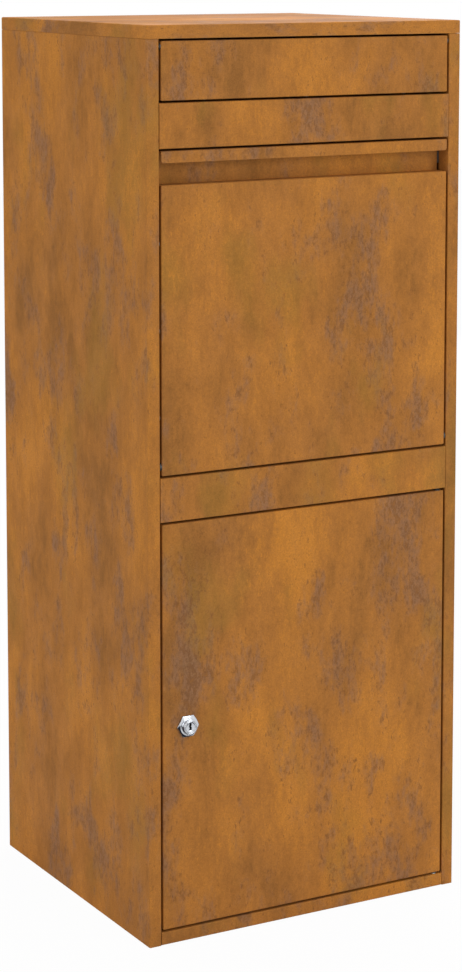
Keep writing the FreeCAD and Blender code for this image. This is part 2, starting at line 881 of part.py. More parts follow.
def hopper_tray():
    """Tray that is level when the door is tipped out and steep when it is shut."""
    tray = folded_across(tray_section(), inner_sheet, hopper_x)
    along_y, along_z = tray_slope()
    corner_y, corner_z = tray_corner()
    side_length = cheek_radius - 4 * inner_sheet - corner_y
    start_y = drop_axis_y + corner_y + inner_sheet
    start_z = drop_axis_z + corner_z
    sides = []
    for side in SIDES:
        corners = [
            Vector(side * hopper_x, start_y, start_z + tray_side),
            Vector(side * hopper_x, start_y, start_z),
            Vector(side * hopper_x, start_y + along_y * side_length, start_z + along_z * side_length),
        ]
        corners.append(corners[2] + Vector(0, -along_z, along_y) * tray_side)
        wall = Part.Face(Part.makePolygon(corners + corners[:1]))
        sides.append(wall.extrude(X_AXIS * (-side * inner_sheet)))
    tray = joined([tray] + sides)
    return drilled(tray, [rivet_hole(at, out, 2 * inner_sheet) for at, out in tray_rivet_places()])


def hopper_cheek(side):
    """Side plate of the hopper: straight at the door, round where it passes the baffle."""
    corner_y, corner_z = tray_corner()
    along_y, along_z = tray_slope()
    low_z = -drop_axis_lift + sheet + fit
    high_z = recess_bottom - sheet - fit - drop_axis_z
    front_y = front + sheet + fit - drop_axis_y
    below = corner_y * along_y + corner_z * along_z
    offset_square = corner_y ** 2 + corner_z ** 2
    reach = -below + math.sqrt(below ** 2 - offset_square + cheek_radius ** 2)
    lower = (corner_y + along_y * reach, corner_z + along_z * reach)
    top_angle = math.radians(cheek_top_angle)
    upper = (cheek_radius * math.sin(top_angle), cheek_radius * math.cos(top_angle))
    middle_angle = (top_angle + math.atan2(lower[0], lower[1])) / 2
    middle = (cheek_radius * math.sin(middle_angle), cheek_radius * math.cos(middle_angle))

    def placed(point):
        return Vector(side * cheek_outer_x, drop_axis_y + point[0], drop_axis_z + point[1])

    straight = [lower, (corner_y, corner_z), (corner_y, low_z), (front_y, low_z), (front_y, high_z),
                (cheek_shoulder, high_z), upper]
    edges = [Part.makeLine(placed(a), placed(b)) for a, b in zip(straight, straight[1:])]
    edges.append(Part.Arc(placed(upper), placed(middle), placed(lower)).toShape())
    plate = Part.Face(Part.Wire(Part.__sortEdges__(edges))).extrude(X_AXIS * (-side * inner_sheet))
    tools = [rivet_hole(at, out, sheet + inner_sheet) for at, out in cheek_rivet_places()]
    return drilled(plate, tools + drop_bush_holes())


def drop_hinge_bush(side):
    """Plastic bush between the drop door and its pin."""
    at = Vector(side * panel_x, drop_axis_y, drop_axis_z)
    outwards = X_AXIS * side
    inner_end = at - outwards * (sheet + inner_sheet)
    outer_end = at + outwards * (panel_gap - joint_gap)
    body = rod(inner_end, at, drop_bush_radius)
    flange = rod(at, outer_end, drop_bush_radius + bush_flange)
    return joined([body, flange]).cut(rod(inner_end, outer_end, drop_pin_radius + running_clearance))


def cheek_rivets():
    return [rivet(at, out, sheet + inner_sheet) for at, out in cheek_rivet_places()]


def tray_rivets():
    return [rivet(at, out, 2 * inner_sheet) for at, out in tray_rivet_places()]


# ---- Letter flap --------------------------------------------------------------------------------------


def letter_flap_skin():
    """Front panel of the letter flap, hung by its side folds; its short top fold turns clear of the roof."""
    panel = front_pan(panel_x, flap_bottom, flap_top, flap_depth, sheet)
    turning_radius = roof_bottom - flap_axis_z - flap_turn_clearance
    fold_reach = math.sqrt(turning_radius ** 2 - flap_axis_drop ** 2)
    tools = [block(-outer_x, outer_x, flap_axis_y + fold_reach, rear, flap_axis_z, roof_bottom)]
    tools += [rivet_hole(at, out, sheet + stop_bar) for at, out in flap_rivet_places()]
    for side in SIDES:
        near = Vector(side * (panel_x - 2 * sheet), flap_axis_y, flap_axis_z)
        tools.append(rod(near, near + X_AXIS * (side * 4 * sheet), flap_bush_radius))
    return drilled(panel, tools)


def flap_stop_bar():
    """Angle along the flap's lower edge: its ends rest behind the strips and its weight shuts the flap."""
    web_half = panel_x - sheet - fit
    z = flap_bottom + sheet
    lip_back = stop_bar_front + stop_bar
    web = block(-web_half, web_half, front + sheet + fit, lip_back, z, z + stop_bar)
    ear_x = opening_x + stop_bar_overhang
    lip = block(-ear_x, ear_x, stop_bar_front, lip_back, z, z + stop_bar_lip)
    holes = [rivet_hole(at, out, sheet + stop_bar) for at, out in flap_rivet_places()]
    return drilled(joined([web, lip]), holes)


def flap_bush(side):
    """Plastic bush between the flap's side fold and the rod."""
    at = Vector(side * panel_x, flap_axis_y, flap_axis_z)
    bore = flap_rod_radius + running_clearance
    return flanged_bush(at, X_AXIS * side, 3 * sheet, panel_gap - 3 * joint_gap, bore)


def flap_rivets():
    return [rivet(at, out, sheet + stop_bar) for at, out in flap_rivet_places()]


# ---- Retrieval door and its lock ----------------------------------------------------------------------


def retrieval_door_skin():
    """Front panel of the retrieval door with its edges folded back."""
    panel = front_pan(panel_x, door_bottom, door_top, door_depth, sheet)
    tools = [rod(hex_centre(front - sheet), hex_centre(front + 2 * sheet), lock_barrel_radius + fit)]
    for z in (door_bottom, door_top):
        near = Vector(door_axis_x, door_axis_y, z - 2 * sheet)
        tools.append(rod(near, near + Z_AXIS * (4 * sheet), door_bush_radius))
    return drilled(panel, tools)


def retrieval_door_liner():
    """Flat inner panel that closes the back of the retrieval door."""
    half = panel_x
    plate = block(-half, half, door_back, door_back + inner_sheet, door_bottom, door_top)
    tools = [rod(hex_centre(door_back - sheet), hex_centre(door_back + 2 * sheet), lock_barrel_radius + fit)]
    tools += [rivet_hole(at, out, 2 * inner_sheet) for at, out in liner_rivet_places()]
    return drilled(plate, tools)


def liner_rivet_places():
    """Rivets that hold the liner to the door's stiffener."""
    x = stiffener_share * panel_x
    y = door_back + inner_sheet
    height = door_top - door_bottom
    return [(Vector(side * x, y, door_bottom + share * height), Y_AXIS)
            for side in SIDES for share in liner_rivet_shares]


def door_stiffener(side):
    """Upright hat section inside the retrieval door that keeps its skin flat."""
    centre_x = side * stiffener_share * panel_x
    crown = stiffener_half_width
    foot = stiffener_foot
    y_front = front + sheet + fit
    section = [
        (centre_x - crown - foot, y_front + inner_sheet),
        (centre_x - crown, y_front + inner_sheet),
        (centre_x - crown, door_back),
        (centre_x + crown, door_back),
        (centre_x + crown, y_front + inner_sheet),
        (centre_x + crown + foot, y_front + inner_sheet),
    ]
    margin = 3 * sheet
    section.reverse()
    hat = folded_upright(section, inner_sheet, door_bottom + margin, door_top - margin)
    holes = [rivet_hole(at, out, 2 * inner_sheet) for at, out in liner_rivet_places()
             if at.x * side > 0]
    return drilled(hat, holes)


def liner_rivets():
    return [rivet(at, out, 2 * inner_sheet) for at, out in liner_rivet_places()]


def door_bush(top):
    """Bush between the retrieval door's fold and its pin."""
    outwards = Z_AXIS if top else -Z_AXIS
    at = Vector(door_axis_x, door_axis_y, door_top if top else door_bottom)
    return flanged_bush(at, outwards, 4 * sheet, bush_flange, door_pin_radius + running_clearance)


def lock_body():
    """Lock barrel with a hexagon head against the door and a round face round the plug."""
    hexagon = hex_prism(hex_centre(front - lock_hex_height), hex_centre(front), lock_hex_flats)
    face = rod(hex_centre(front - lock_hex_height - lock_face_height), hex_centre(front), lock_face_radius)
    barrel = rod(hex_centre(front - lock_hex_height / 2), hex_centre(cam_front - rest_gap),
                 lock_barrel_radius)
    bore = rod(hex_centre(front - cabinet_depth), hex_centre(front + cabinet_depth),
               plug_radius + running_clearance)
    return joined([hexagon, face, barrel]).cut(bore)


def lock_nut():
    """Hexagon nut that clamps the lock to the door's skin."""
    start = hex_centre(front + sheet)
    end = hex_centre(front + sheet + lock_nut_height)
    return hex_prism(start, end, lock_hex_flats).cut(rod(start, end, lock_barrel_radius))


def lock_plug():
    """Turning plug with its keyway and a threaded hole for the cam's screw."""
    face_y = front - lock_hex_height - lock_face_height + plug_recess
    plug = rod(hex_centre(face_y), hex_centre(cam_front), plug_radius)
    slot = block(lock_x - keyway_width / 2, lock_x + keyway_width / 2,
                 face_y - plug_recess, face_y + keyway_depth,
                 lock_z - keyway_height / 2, lock_z + keyway_height / 2)
    thread = rod(hex_centre(cam_front - cam_screw_reach), hex_centre(cam_front), cam_screw_radius)
    return drilled(plug, [slot, thread])


def lock_cam():
    """Cam: it hangs down when the lock is open and turns behind the strike when it is shut."""
    rounding = cam_width / 2
    y0 = cam_front
    y1 = cam_front + cam_thickness
    arm = block(lock_x - rounding, lock_x + rounding, y0, y1, lock_z - cam_length + rounding, lock_z)
    ends = [rod(Vector(lock_x, y0, z), Vector(lock_x, y1, z), rounding)
            for z in (lock_z, lock_z - cam_length + rounding)]
    hole = rod(hex_centre(y0 - sheet), hex_centre(y1 + sheet), cam_screw_radius)
    return joined([arm] + ends).cut(hole)


def cam_screw():
    """Screw that holds the cam on the plug."""
    under_head = cam_front + cam_thickness
    shank = rod(hex_centre(cam_front - cam_screw_reach), hex_centre(under_head), cam_screw_radius)
    head_end = hex_centre(under_head + cam_screw_head_height)
    head = hex_prism(hex_centre(under_head), head_end, 2 * cam_screw_head)
    return joined([shank, head])


# ---- Pieces and their files ----------------------------------------------------------------------------

pieces = {
    "side_panel_left": side_panel(-1),
    "side_panel_right": side_panel(1),
    "back_panel": back_panel(),
    "base_pan": base_pan(),
    "roof_cap": roof_cap(),
    "upper_front_rail": upper_front_rail(),
    "middle_front_rail": middle_front_rail(),
    "letter_chute": letter_chute(),
    "anti_theft_baffle": anti_theft_baffle(),
    "hopper_stop_left": hopper_stop(-1),
    "hopper_stop_right": hopper_stop(1),
    "hopper_stop_buffers": hopper_stop_buffers(),
    "drop_door_rests": drop_door_rests(),
    "drop_door_bumpers": drop_door_bumpers(),
    "door_stop_strip": door_stop_strip(),
    "door_bumpers": door_bumpers(),
    "lock_strike": lock_strike(),
    "drop_hinge_plate_left": drop_hinge_plate(-1),
    "drop_hinge_plate_right": drop_hinge_plate(1),
    "drop_hinge_pin_left": drop_hinge_pin(-1),
    "drop_hinge_pin_right": drop_hinge_pin(1),
    "drop_hinge_nuts": drop_hinge_nuts(),
    "door_hinge_pin_top": door_hinge_pin(True),
    "door_hinge_pin_bottom": door_hinge_pin(False),
    "door_washer": door_washer(),
    "flap_rod": flap_rod(),
    "flap_rod_clips": flap_rod_clips(),
    "rail_rivets": rail_rivets(),
    "chute_rivets": chute_rivets(),
    "back_panel_screws": back_panel_screws(),
    "roof_screws": roof_screws(),
    "drop_door_skin": drop_door_skin(),
    "drop_door_liner": drop_door_liner(),
    "hopper_tray": hopper_tray(),
    "hopper_cheek_left": hopper_cheek(-1),
    "hopper_cheek_right": hopper_cheek(1),
    "drop_hinge_bush_left": drop_hinge_bush(-1),
    "drop_hinge_bush_right": drop_hinge_bush(1),
    "cheek_rivets": cheek_rivets(),
    "tray_rivets": tray_rivets(),
    "letter_flap_skin": letter_flap_skin(),
    "flap_stop_bar": flap_stop_bar(),
    "flap_bush_left": flap_bush(-1),
    "flap_bush_right": flap_bush(1),
    "flap_rivets": flap_rivets(),
    "retrieval_door_skin": retrieval_door_skin(),
    "retrieval_door_liner": retrieval_door_liner(),
    "door_stiffener_left": door_stiffener(-1),
    "door_stiffener_right": door_stiffener(1),
    "liner_rivets": liner_rivets(),
    "door_bush_top": door_bush(True),
    "door_bush_bottom": door_bush(False),
    "lock_body": lock_body(),
    "lock_nut": lock_nut(),
    "lock_plug": lock_plug(),
    "lock_cam": lock_cam(),
    "cam_screw": cam_screw(),
}

os.makedirs("parts", exist_ok=True)
for name, made in pieces.items():
    shape = Part.makeCompound(made) if isinstance(made, list) else made
    if not shape.isValid():
        raise ValueError(f"{name} is not a valid shape")
    solids = shape.Solids
    print(name, len(solids), "solids", round(sum(solid.Volume for solid in solids)), "mm3")
    shape.exportStep(f"parts/{name}.step")
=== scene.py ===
"""Looks of a free-standing parcel and letter box.

Rust-patina outer sheets, zinc-coated inner sheets, plated fasteners, rubber stops and a chromed cam lock,
on a pale studio floor. Laid out as an add-on: the sizes and colours are in PropertyGroups, each piece or
group of like pieces has an operator, and main() runs the operators in order. Lengths are in metres, in the
packed model's frame.
"""

import math
from functools import partial

import bpy
import numpy as np
from bpy.props import FloatProperty, FloatVectorProperty, PointerProperty
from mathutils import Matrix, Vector


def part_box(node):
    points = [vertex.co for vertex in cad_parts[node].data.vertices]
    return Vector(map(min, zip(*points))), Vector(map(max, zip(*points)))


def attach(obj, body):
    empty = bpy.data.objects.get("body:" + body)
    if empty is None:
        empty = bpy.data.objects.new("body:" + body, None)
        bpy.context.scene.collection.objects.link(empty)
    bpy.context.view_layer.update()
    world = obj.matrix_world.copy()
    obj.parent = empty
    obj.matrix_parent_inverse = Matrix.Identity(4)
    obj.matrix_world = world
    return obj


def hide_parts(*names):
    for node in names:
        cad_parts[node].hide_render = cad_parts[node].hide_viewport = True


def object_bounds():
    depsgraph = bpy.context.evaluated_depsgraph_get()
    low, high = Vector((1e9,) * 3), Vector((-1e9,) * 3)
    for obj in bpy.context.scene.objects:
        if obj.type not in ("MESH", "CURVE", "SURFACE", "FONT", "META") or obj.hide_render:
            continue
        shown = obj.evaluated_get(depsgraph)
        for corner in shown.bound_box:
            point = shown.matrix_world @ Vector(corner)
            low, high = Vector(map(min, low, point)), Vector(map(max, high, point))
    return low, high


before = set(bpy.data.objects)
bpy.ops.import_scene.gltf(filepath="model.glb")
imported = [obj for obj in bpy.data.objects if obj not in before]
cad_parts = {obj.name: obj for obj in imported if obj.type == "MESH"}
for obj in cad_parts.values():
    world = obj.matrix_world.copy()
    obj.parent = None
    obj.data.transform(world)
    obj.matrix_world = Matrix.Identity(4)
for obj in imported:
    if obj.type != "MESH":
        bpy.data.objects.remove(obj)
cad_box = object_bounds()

bl_info = {
    "name": "Parcel and letter box finishes",
    "version": (1, 0, 0),
    "blender": (4, 5, 0),
    "location": "3D View > Sidebar > Parcel box",
    "description": "Finishes and small hardware of a folded sheet steel parcel and letter box",
    "category": "Object",
}

MM = 0.001
FULL_TURN = 2 * math.pi
SIXTH_TURN = math.pi / 3
RIGHT = np.array([1.0, 0.0, 0.0])
BACK = np.array([0.0, 1.0, 0.0])
UP = np.array([0.0, 0.0, 1.0])
FINE = 0.15 * MM  # smallest rounding of a turned edge
SNUG = 0.05 * MM  # play of a plug or barrel in its bore
THREAD_DEPTH = 0.4  # as a share of the pitch
CROWN = 0.475  # radius of a hexagon's flat crown, as a share of the width across flats
CHAMFER = math.radians(30)
ROWS = 6  # rows of points in one pitch of a thread, or in a chamfer
LOCK_COLUMNS = 96  # points round the lock's visible parts
SHARP = math.radians(30)  # edges that turn by more than this stay sharp


def linear(hex_colour):
    """sRGB hex to linear red, green and blue."""
    share = np.array([int(hex_colour[at:at + 2], 16) for at in (1, 3, 5)]) / 255
    return tuple(np.where(share <= 0.04045, share / 12.92, ((share + 0.055) / 1.055) ** 2.4).tolist())


def hue(name, hex_colour, description):
    """Setting for a colour, from its sRGB hex."""
    return FloatVectorProperty(name=name, description=description, subtype="COLOR", size=3, min=0, max=1,
                               default=linear(hex_colour))


def size(name, millimetres, description):
    """Setting for a length."""
    return FloatProperty(name=name, description=description, unit="LENGTH", precision=5, min=0,
                         default=millimetres * MM)


def amount(name, value, description, kind="NONE"):
    """Setting for any other number."""
    return FloatProperty(name=name, description=description, subtype=kind, default=value)


# ---- Settings ----


class PatinaSettings(bpy.types.PropertyGroup):
    """Rust patina of the outer sheets."""

    ochre: hue("Ochre", "#C8822F", "Young, loose rust")
    rust: hue("Rust", "#AB6F30", "Most of the sheet")
    umber: hue("Umber", "#92602C", "Older, denser rust")
    violet: hue("Violet grey", "#85634C", "Bare, tight oxide where water ran")
    olive: hue("Olive", "#926E29", "Damp marks")
    pit: hue("Pit", "#7A4F29", "Small dark pits")
    cloud: size("Cloud", 120, "Width of the large clouds")
    blotch: size("Blotch", 34, "Width of the blotches within the clouds")
    run: size("Run", 4.5, "Width of the marks that run down")
    fleck: size("Fleck", 3.2, "Width of the flecks and pits")
    grit: size("Grit", 1.6, "Grain of the rust; coarser than real, to show")


class MetalSettings(bpy.types.PropertyGroup):
    """Zinc-coated sheet, plated hardware, chrome and weld metal."""

    zinc: hue("Zinc", "#A2A5A5", "Hot-dip zinc coating")
    zinc_shade_and_film: hue("Dull zinc", "#868A89", "Spangles turned away from the light")
    spangle: size("Spangle", 9, "Width of a zinc crystal")
    film: size("Film", 62.5, "Width of the dull patches on the zinc")
    plating: hue("Plating", "#BDBBB4", "Clear passivated zinc plating")
    black_zinc: hue("Black zinc", "#3B3936", "Black zinc plating of the hinge pins")
    chrome: hue("Chrome", "#CDD0D5", "Bright chrome")
    # painted shade: the dark colour inside the keyway stands for the shade deep in the hole
    keyway: hue("Keyway", "#3E382F", "Tarnished brass inside the keyway")
    weld: hue("Weld", "#77736D", "Wire-brushed weld metal")
    straw: hue("Straw", "#8E7648", "Heat tint beside the weld")
    scratch: size("Scratch", 1.25, "Width of the scratches on worked metal; coarser than real, to show")
    patch: size("Patch", 9.09, "Width of the stained patches on worked metal")


class SoftSettings(bpy.types.PropertyGroup):
    """Rubber stops and plastic bushes."""

    rubber: hue("Rubber", "#1E1D1C", "Black moulded rubber")
    bloom: hue("Bloom", "#34322F", "Dusty bloom on the rubber")
    bush: hue("Bush", "#2C2926", "Black acetal")
    grain: size("Grain", 0.5, "Grain of the moulded surface; coarser than real, to show")
    dust: size("Dust", 6.25, "Width of the dusty patches")
    disc_edge: size("Disc edge", 0.6, "Rounding of a rubber disc's rim")
    disc_dish: size("Disc dish", 0.5, "Depth of the dish in a disc's face")


class LockSettings(bpy.types.PropertyGroup):
    """Cam lock."""

    face: size("Face", 8.25, "Radius of the round face")
    ring_inset: size("Ring inset", 1.1, "From the face's rim to the ring turned into it")
    hexagon: size("Hexagon", 3.5, "Height of the hexagon")
    chamfer_start: size("Chamfer start", 10.6, "Radius where the hexagon's chamfer starts")
    chamfer_fall: size("Chamfer fall", 1.7, "Height that the chamfer loses out to the corners")
    collar: size("Collar", 0.7, "Fillet between the hexagon and the round face")
    face_edge: size("Face edge", 0.7, "Rounding of the round face's rim")
    groove: size("Groove", 0.25, "Depth of the ring turned into the face")
    key_slot_width: size("Key slot width", 3.1, "Width of the keyway")
    key_slot_height: size("Key slot height", 7.4, "Height of the keyway")
    ward: size("Ward", 0.95, "How far a ward reaches into the keyway")
    barrel: size("Barrel", 9.0, "Radius of the barrel")
    pitch: size("Pitch", 1.25, "Pitch of the barrel's thread")
    plug: size("Plug", 6.0, "Radius of the plug")
    key_slot_depth: size("Key slot depth", 6.0, "Depth of the keyway")
    cam_hole: size("Cam hole", 2.5, "Radius of the hole in the cam")
    cam_edge: size("Cam edge", 0.5, "Rounding of the cam's edges")
    cam_screw_head: size("Cam screw head", 2.6, "Height of the cam screw's head")


class FastenerSettings(bpy.types.PropertyGroup):
    """Rivets, screws, nuts and pins."""

    rivet_gap: size("Rivet gap", 5, "Least clear space between two rivets")
    rivet_head: size("Rivet head", 0.9, "Height of a rivet's head")
    rivet_shank: size("Rivet shank", 1.6, "Radius of a rivet's shank")
    rivet_tail: size("Rivet tail", 2.3, "Radius of a rivet's spread tail")
    rivet_tail_height: size("Rivet tail height", 1.3, "Height of a rivet's tail")
    mandrel: size("Mandrel", 0.95, "Radius of the mandrel's hole in a blind rivet")
    mandrel_depth: size("Mandrel depth", 0.5, "How deep the broken mandrel lies")
    socket_flats: size("Socket flats", 3.0, "Across the flats of the rear screws' sockets")
    socket_depth: size("Socket depth", 1.5, "Depth of the rear screws' sockets")
    screw: size("Screw", 2.0, "Radius of the sheet screws")
    hexagon_head: size("Hexagon head", 2.8, "Height of the roof screws' heads")
    drop_pin: size("Drop pin", 3.0, "Radius of the drop door's pins")
    pin_head: size("Drop pin head", 2.2, "Height of the drop door pins' heads")
    pin_thread: size("Drop pin thread", 2.5, "Radius of the drop door pins' threaded ends")
    door_pin: size("Door pin", 2.5, "Radius of the retrieval door's pins")
    door_pin_head: size("Door pin head", 2.5, "Height of the retrieval door pins' heads")
    pitch: size("Pitch", 0.8, "Pitch of the small threads")
    edge: size("Edge", 0.35, "Small rounding of turned parts")


class WeldSettings(bpy.types.PropertyGroup):
    """Stitch welds between inner pieces and the side panels."""

    wall: size("Wall", 1.2, "Thickness of the side panels")
    leg: size("Leg", 2.2, "Leg of the fillet weld")
    ripple: size("Ripple", 1.7, "Pitch of the ripples")
    stitch: size("Stitch", 26, "Length of one stitch")


class StageSettings(bpy.types.PropertyGroup):
    """Camera, lights and floor."""

    camera_yaw: amount("Camera yaw", math.radians(29.45), "Turn to the right of straight ahead", "ANGLE")
    camera_pitch: amount("Camera pitch", math.radians(6.28), "Turn below the horizon", "ANGLE")
    camera_place: FloatVectorProperty(name="Camera place", description="Where the camera stands",
                                      subtype="TRANSLATION", size=3, default=(-1.469, -2.614, 1.116))
    lens: amount("Lens", 93.5, "Focal length in millimetres", "DISTANCE_CAMERA")
    shift: amount("Shift", -0.266, "Rise of the lens, as a share of the long side")
    floor_size: size("Floor", 16000, "Side of the floor")
    card_height: size("Card height", 30, "Height of the dark card over the floor")
    panel_size: size("Soft light", 2600, "Side of a soft light")
    ambient: amount("Ambient", 0.21, "Strength of the room's light")
    overhead: amount("Overhead light", 58, "Power of the light above", "POWER")
    front: amount("Front light", 70, "Power of the light in front", "POWER")
    left: amount("Left light", 57, "Power of the light on the left", "POWER")
    rear: amount("Rear light", 80, "Power of the light behind", "POWER")
    paleness: amount("Paleness", 0.965, "How far the seen floor is lifted to white", "FACTOR")
    floor: hue("Floor paint", "#EDEDEC", "Matt white paint of the floor")
    floor_light: hue("Light floor paint", "#F1F1F0", "Paint where the floor is lightest")
    mottle: size("Mottle", 400, "Width of the floor's lighter and darker patches")
    felt: hue("Felt", "#2B2E36", "Felt of the dark card")
    felt_light: hue("Light felt", "#3A3D46", "Felt where its nap stands up")
    nap: size("Nap", 3.333, "Width of the felt's tufts")


# ---- Materials ----

SEEDED = {"noise_dimensions": "4D"}
SMOOTH = {"interpolation_type": "SMOOTHSTEP"}
COLOURS = {"data_type": "RGBA"}
SHADED = {"data_type": "RGBA", "blend_type": "MULTIPLY"}
GREATER = {"operation": "MAXIMUM"}
ZINC = ["zinc_plated_steel"]


def add_node(tree, kind, settings=None, out=0, **sockets):
    """Adds a shader node with its own settings and gives back one of its outputs.

    A socket takes a value, or the socket that feeds it. One named _3 is the node's fourth input, for nodes
    whose inputs share a name: a Mix node's share is 0, its numbers are 2 and 3, its vectors 4 and 5, its
    colours 6 and 7. Its outputs are a number at 0, a vector at 1 and a colour at 2.
    """
    node = tree.nodes.new("ShaderNode" + kind)
    for name, value in (settings or {}).items():
        setattr(node, name, value)
    for name, value in sockets.items():
        socket = node.inputs[int(name[1:]) if name[0] == "_" else name.replace("_", " ")]
        if isinstance(value, bpy.types.NodeSocket):
            tree.links.new(value, socket)
        else:
            socket.default_value = value
    return node.outputs[out] if node.outputs else None


def new_material(name, build, *values):
    """A material whose surface is built in a node tree, from the object's own coordinates."""
    material = bpy.data.materials.new(name)
    material.use_nodes = True
    material.node_tree.nodes.clear()
    add = partial(add_node, material.node_tree)
    place = add("TexCoord", out="Object")
    add("OutputMaterial", Surface=build(add, place, *values))
    return material


def rgba(colour):
    return (*colour, 1.0)


def darker(colour, share):
    return [share * part for part in colour]


def weathering_steel(add, place, seed, turn=(0, 0, 0)):
    """Weathering steel, browned outdoors: a matt oxide in ochre and brown clouds that run down the sheet.

    It is violet grey where the oxide is tight, and its grit shows only at a graze. The seed gives a sheet
    its own marks; turn lays the run along another axis.
    """
    look = bpy.context.scene.parcel_box_patina
    upright = add("Mapping", Vector=place, Rotation=turn)
    drawn = add("Mapping", Vector=upright, Scale=(1, 1, 0.5))
    running = add("Mapping", Vector=upright, Scale=(1, 1, 0.25))
    fields = (
        (drawn, 0, 1 / look.cloud, 7.0, 0.62, 0.3),
        (drawn, 3, 1 / look.blotch, 8.0, 0.75, 0.2),
        (running, 5, 1 / look.run, 4.0, 0.65, 0.0),
        (place, 0, 1 / look.grit, 3.0, 0.7, 0.0),
        (drawn, 11, 1.8 / look.cloud, 8.0, 0.68, 0.0),
        (drawn, 17, 1.4 / look.cloud, 4.0, 0.55, 0.0),
        (drawn, 23, 1 / look.fleck, 4.0, 0.7, 0.0),
    )
    clouds, blotches, runs, grit, patches, damp, flecks = [
        add("TexNoise", SEEDED, Vector=vector, W=seed + offset, Scale=scale, Detail=detail,
            Roughness=roughness, Distortion=distortion)
        for vector, offset, scale, detail, roughness, distortion in fields
    ]
    marks = add("Mix", _0=0.3, _2=blotches, _3=runs)
    tone = add("Mix", _0=0.5, _2=clouds, _3=marks)
    tight = add("Mix", _0=0.45, _2=patches, _3=marks)
    loose = add("Mix", _0=0.5, _2=flecks, _3=tone)
    pitted = add("Mix", _0=0.55, _2=flecks, _3=tight)
    colour = rgba(look.umber)
    layers = (
        (tone, 0.39, 0.50, 1.0, look.rust),
        (tone, 0.48, 0.60, 0.7, look.ochre),
        (tight, 0.505, 0.59, 0.68, look.violet),
        (damp, 0.52, 0.66, 0.35, look.olive),
        (loose, 0.51, 0.58, 0.6, look.ochre),
        (pitted, 0.52, 0.58, 0.7, look.pit),
    )
    for mark, none, full, most, tint in layers:
        share = add("MapRange", SMOOTH, Value=mark, From_Min=none, From_Max=full, To_Max=most)
        colour = add("Mix", COLOURS, 2, _0=share, _6=colour, _7=rgba(tint))
    shade = add("MapRange", SMOOTH, Value=grit, From_Min=0.3, From_Max=0.7, To_Min=0.86, To_Max=1.12)
    grey = add("CombineColor", Red=shade, Green=shade, Blue=shade)
    colour = add("Mix", SHADED, 2, _0=1.0, _6=colour, _7=grey)
    relief = add("Mix", _0=0.25, _2=grit, _3=blotches)
    bump = add("Bump", Strength=0.35, Distance=0.35 * MM, Height=relief)
    matt = add("MapRange", SMOOTH, Value=blotches, From_Min=0.35, From_Max=0.65, To_Min=0.84, To_Max=0.66)
    return add("BsdfPrincipled", Base_Color=colour, IOR=1.5, Specular_IOR_Level=0.2, Roughness=matt,
               Normal=bump)


def zinc_sheet(add, place):
    """Hot-dip galvanised sheet: flat grey crystals of zinc, each turned its own way, under a dull film. The
    darker crystals are painted shade, for spangles turned away from the light.
    """
    look = bpy.context.scene.parcel_box_metals
    wander = add("TexNoise", out="Color", Vector=place, Scale=1 / look.spangle)
    bent = add("Mix", {"data_type": "VECTOR"}, 1, _0=0.004, _4=place, _5=wander)
    crystals = add("TexVoronoi", out="Color", Vector=bent, Scale=1 / look.spangle)
    turn = add("SeparateColor", Color=crystals)
    film = add("TexNoise", SEEDED, Vector=place, W=2.0, Scale=1 / look.film, Detail=4.0)
    veil = add("MapRange", SMOOTH, Value=film, From_Min=0.4, From_Max=0.7, To_Max=0.35)
    # painted shade: at random a crystal takes the darker zinc, as if turned away from the light
    colour = add("Mix", COLOURS, 2, _0=turn, _6=rgba(look.zinc_shade_and_film), _7=rgba(look.zinc))
    colour = add("Mix", COLOURS, 2, _0=veil, _6=colour, _7=rgba(look.zinc_shade_and_film))
    roughness = add("MapRange", Value=turn, To_Min=0.44, To_Max=0.62)
    return add("BsdfPrincipled", Base_Color=colour, Metallic=0.8, Roughness=roughness)


def worked_metal(add, place, colour, stain, roughness, wear):
    """Plated, polished or brushed metal: fine random scratches, and a thin stain in patches."""
    look = bpy.context.scene.parcel_box_metals
    rub = add("TexNoise", SEEDED, Vector=place, W=1.0, Scale=1 / look.scratch, Detail=4.0, Roughness=0.7)
    patch = add("TexNoise", SEEDED, Vector=place, W=4.0, Scale=1 / look.patch, Detail=3.0)
    share = add("MapRange", SMOOTH, Value=patch, From_Min=0.35, From_Max=0.65, To_Max=wear)
    shade = add("Mix", COLOURS, 2, _0=share, _6=rgba(colour), _7=rgba(stain))
    bump = add("Bump", Strength=wear, Distance=0.02 * MM, Height=rub)
    dulled = add("MapRange", SMOOTH, Value=rub, From_Min=0.3, From_Max=0.7, To_Min=roughness * 0.8,
                 To_Max=roughness * 1.25)
    return add("BsdfPrincipled", Base_Color=shade, Metallic=1.0, Roughness=dulled, Normal=bump)


def moulded(add, place, colour, veil, roughness, grain_height):
    """Moulded rubber or plastic: an even body colour under a faint veil, with the mould's fine grain."""
    look = bpy.context.scene.parcel_box_soft
    grain = add("TexNoise", SEEDED, Vector=place, W=1.0, Scale=1 / look.grain)
    dust = add("TexNoise", SEEDED, Vector=place, W=7.0, Scale=1 / look.dust, Detail=4.0, Roughness=0.6)
    share = add("MapRange", SMOOTH, Value=dust, From_Min=0.4, From_Max=0.7)
    shade = add("Mix", COLOURS, 2, _0=share, _6=rgba(colour), _7=rgba(veil))
    bump = add("Bump", Strength=0.4, Distance=grain_height, Height=grain)
    dulled = add("MapRange", SMOOTH, Value=dust, From_Min=0.3, From_Max=0.7, To_Min=roughness,
                 To_Max=roughness + 0.12)
    return add("BsdfPrincipled", Base_Color=shade, IOR=1.5, Roughness=dulled, Normal=bump)


def seen_directly(add):
    """1 for camera, glossy and transmission rays, 0 for the rays that light the object."""
    path = add("LightPath").node.outputs
    either = add("Math", GREATER, _0=path["Is Camera Ray"], _1=path["Is Glossy Ray"])
    return add("Math", GREATER, _0=either, _1=path["Is Transmission Ray"])


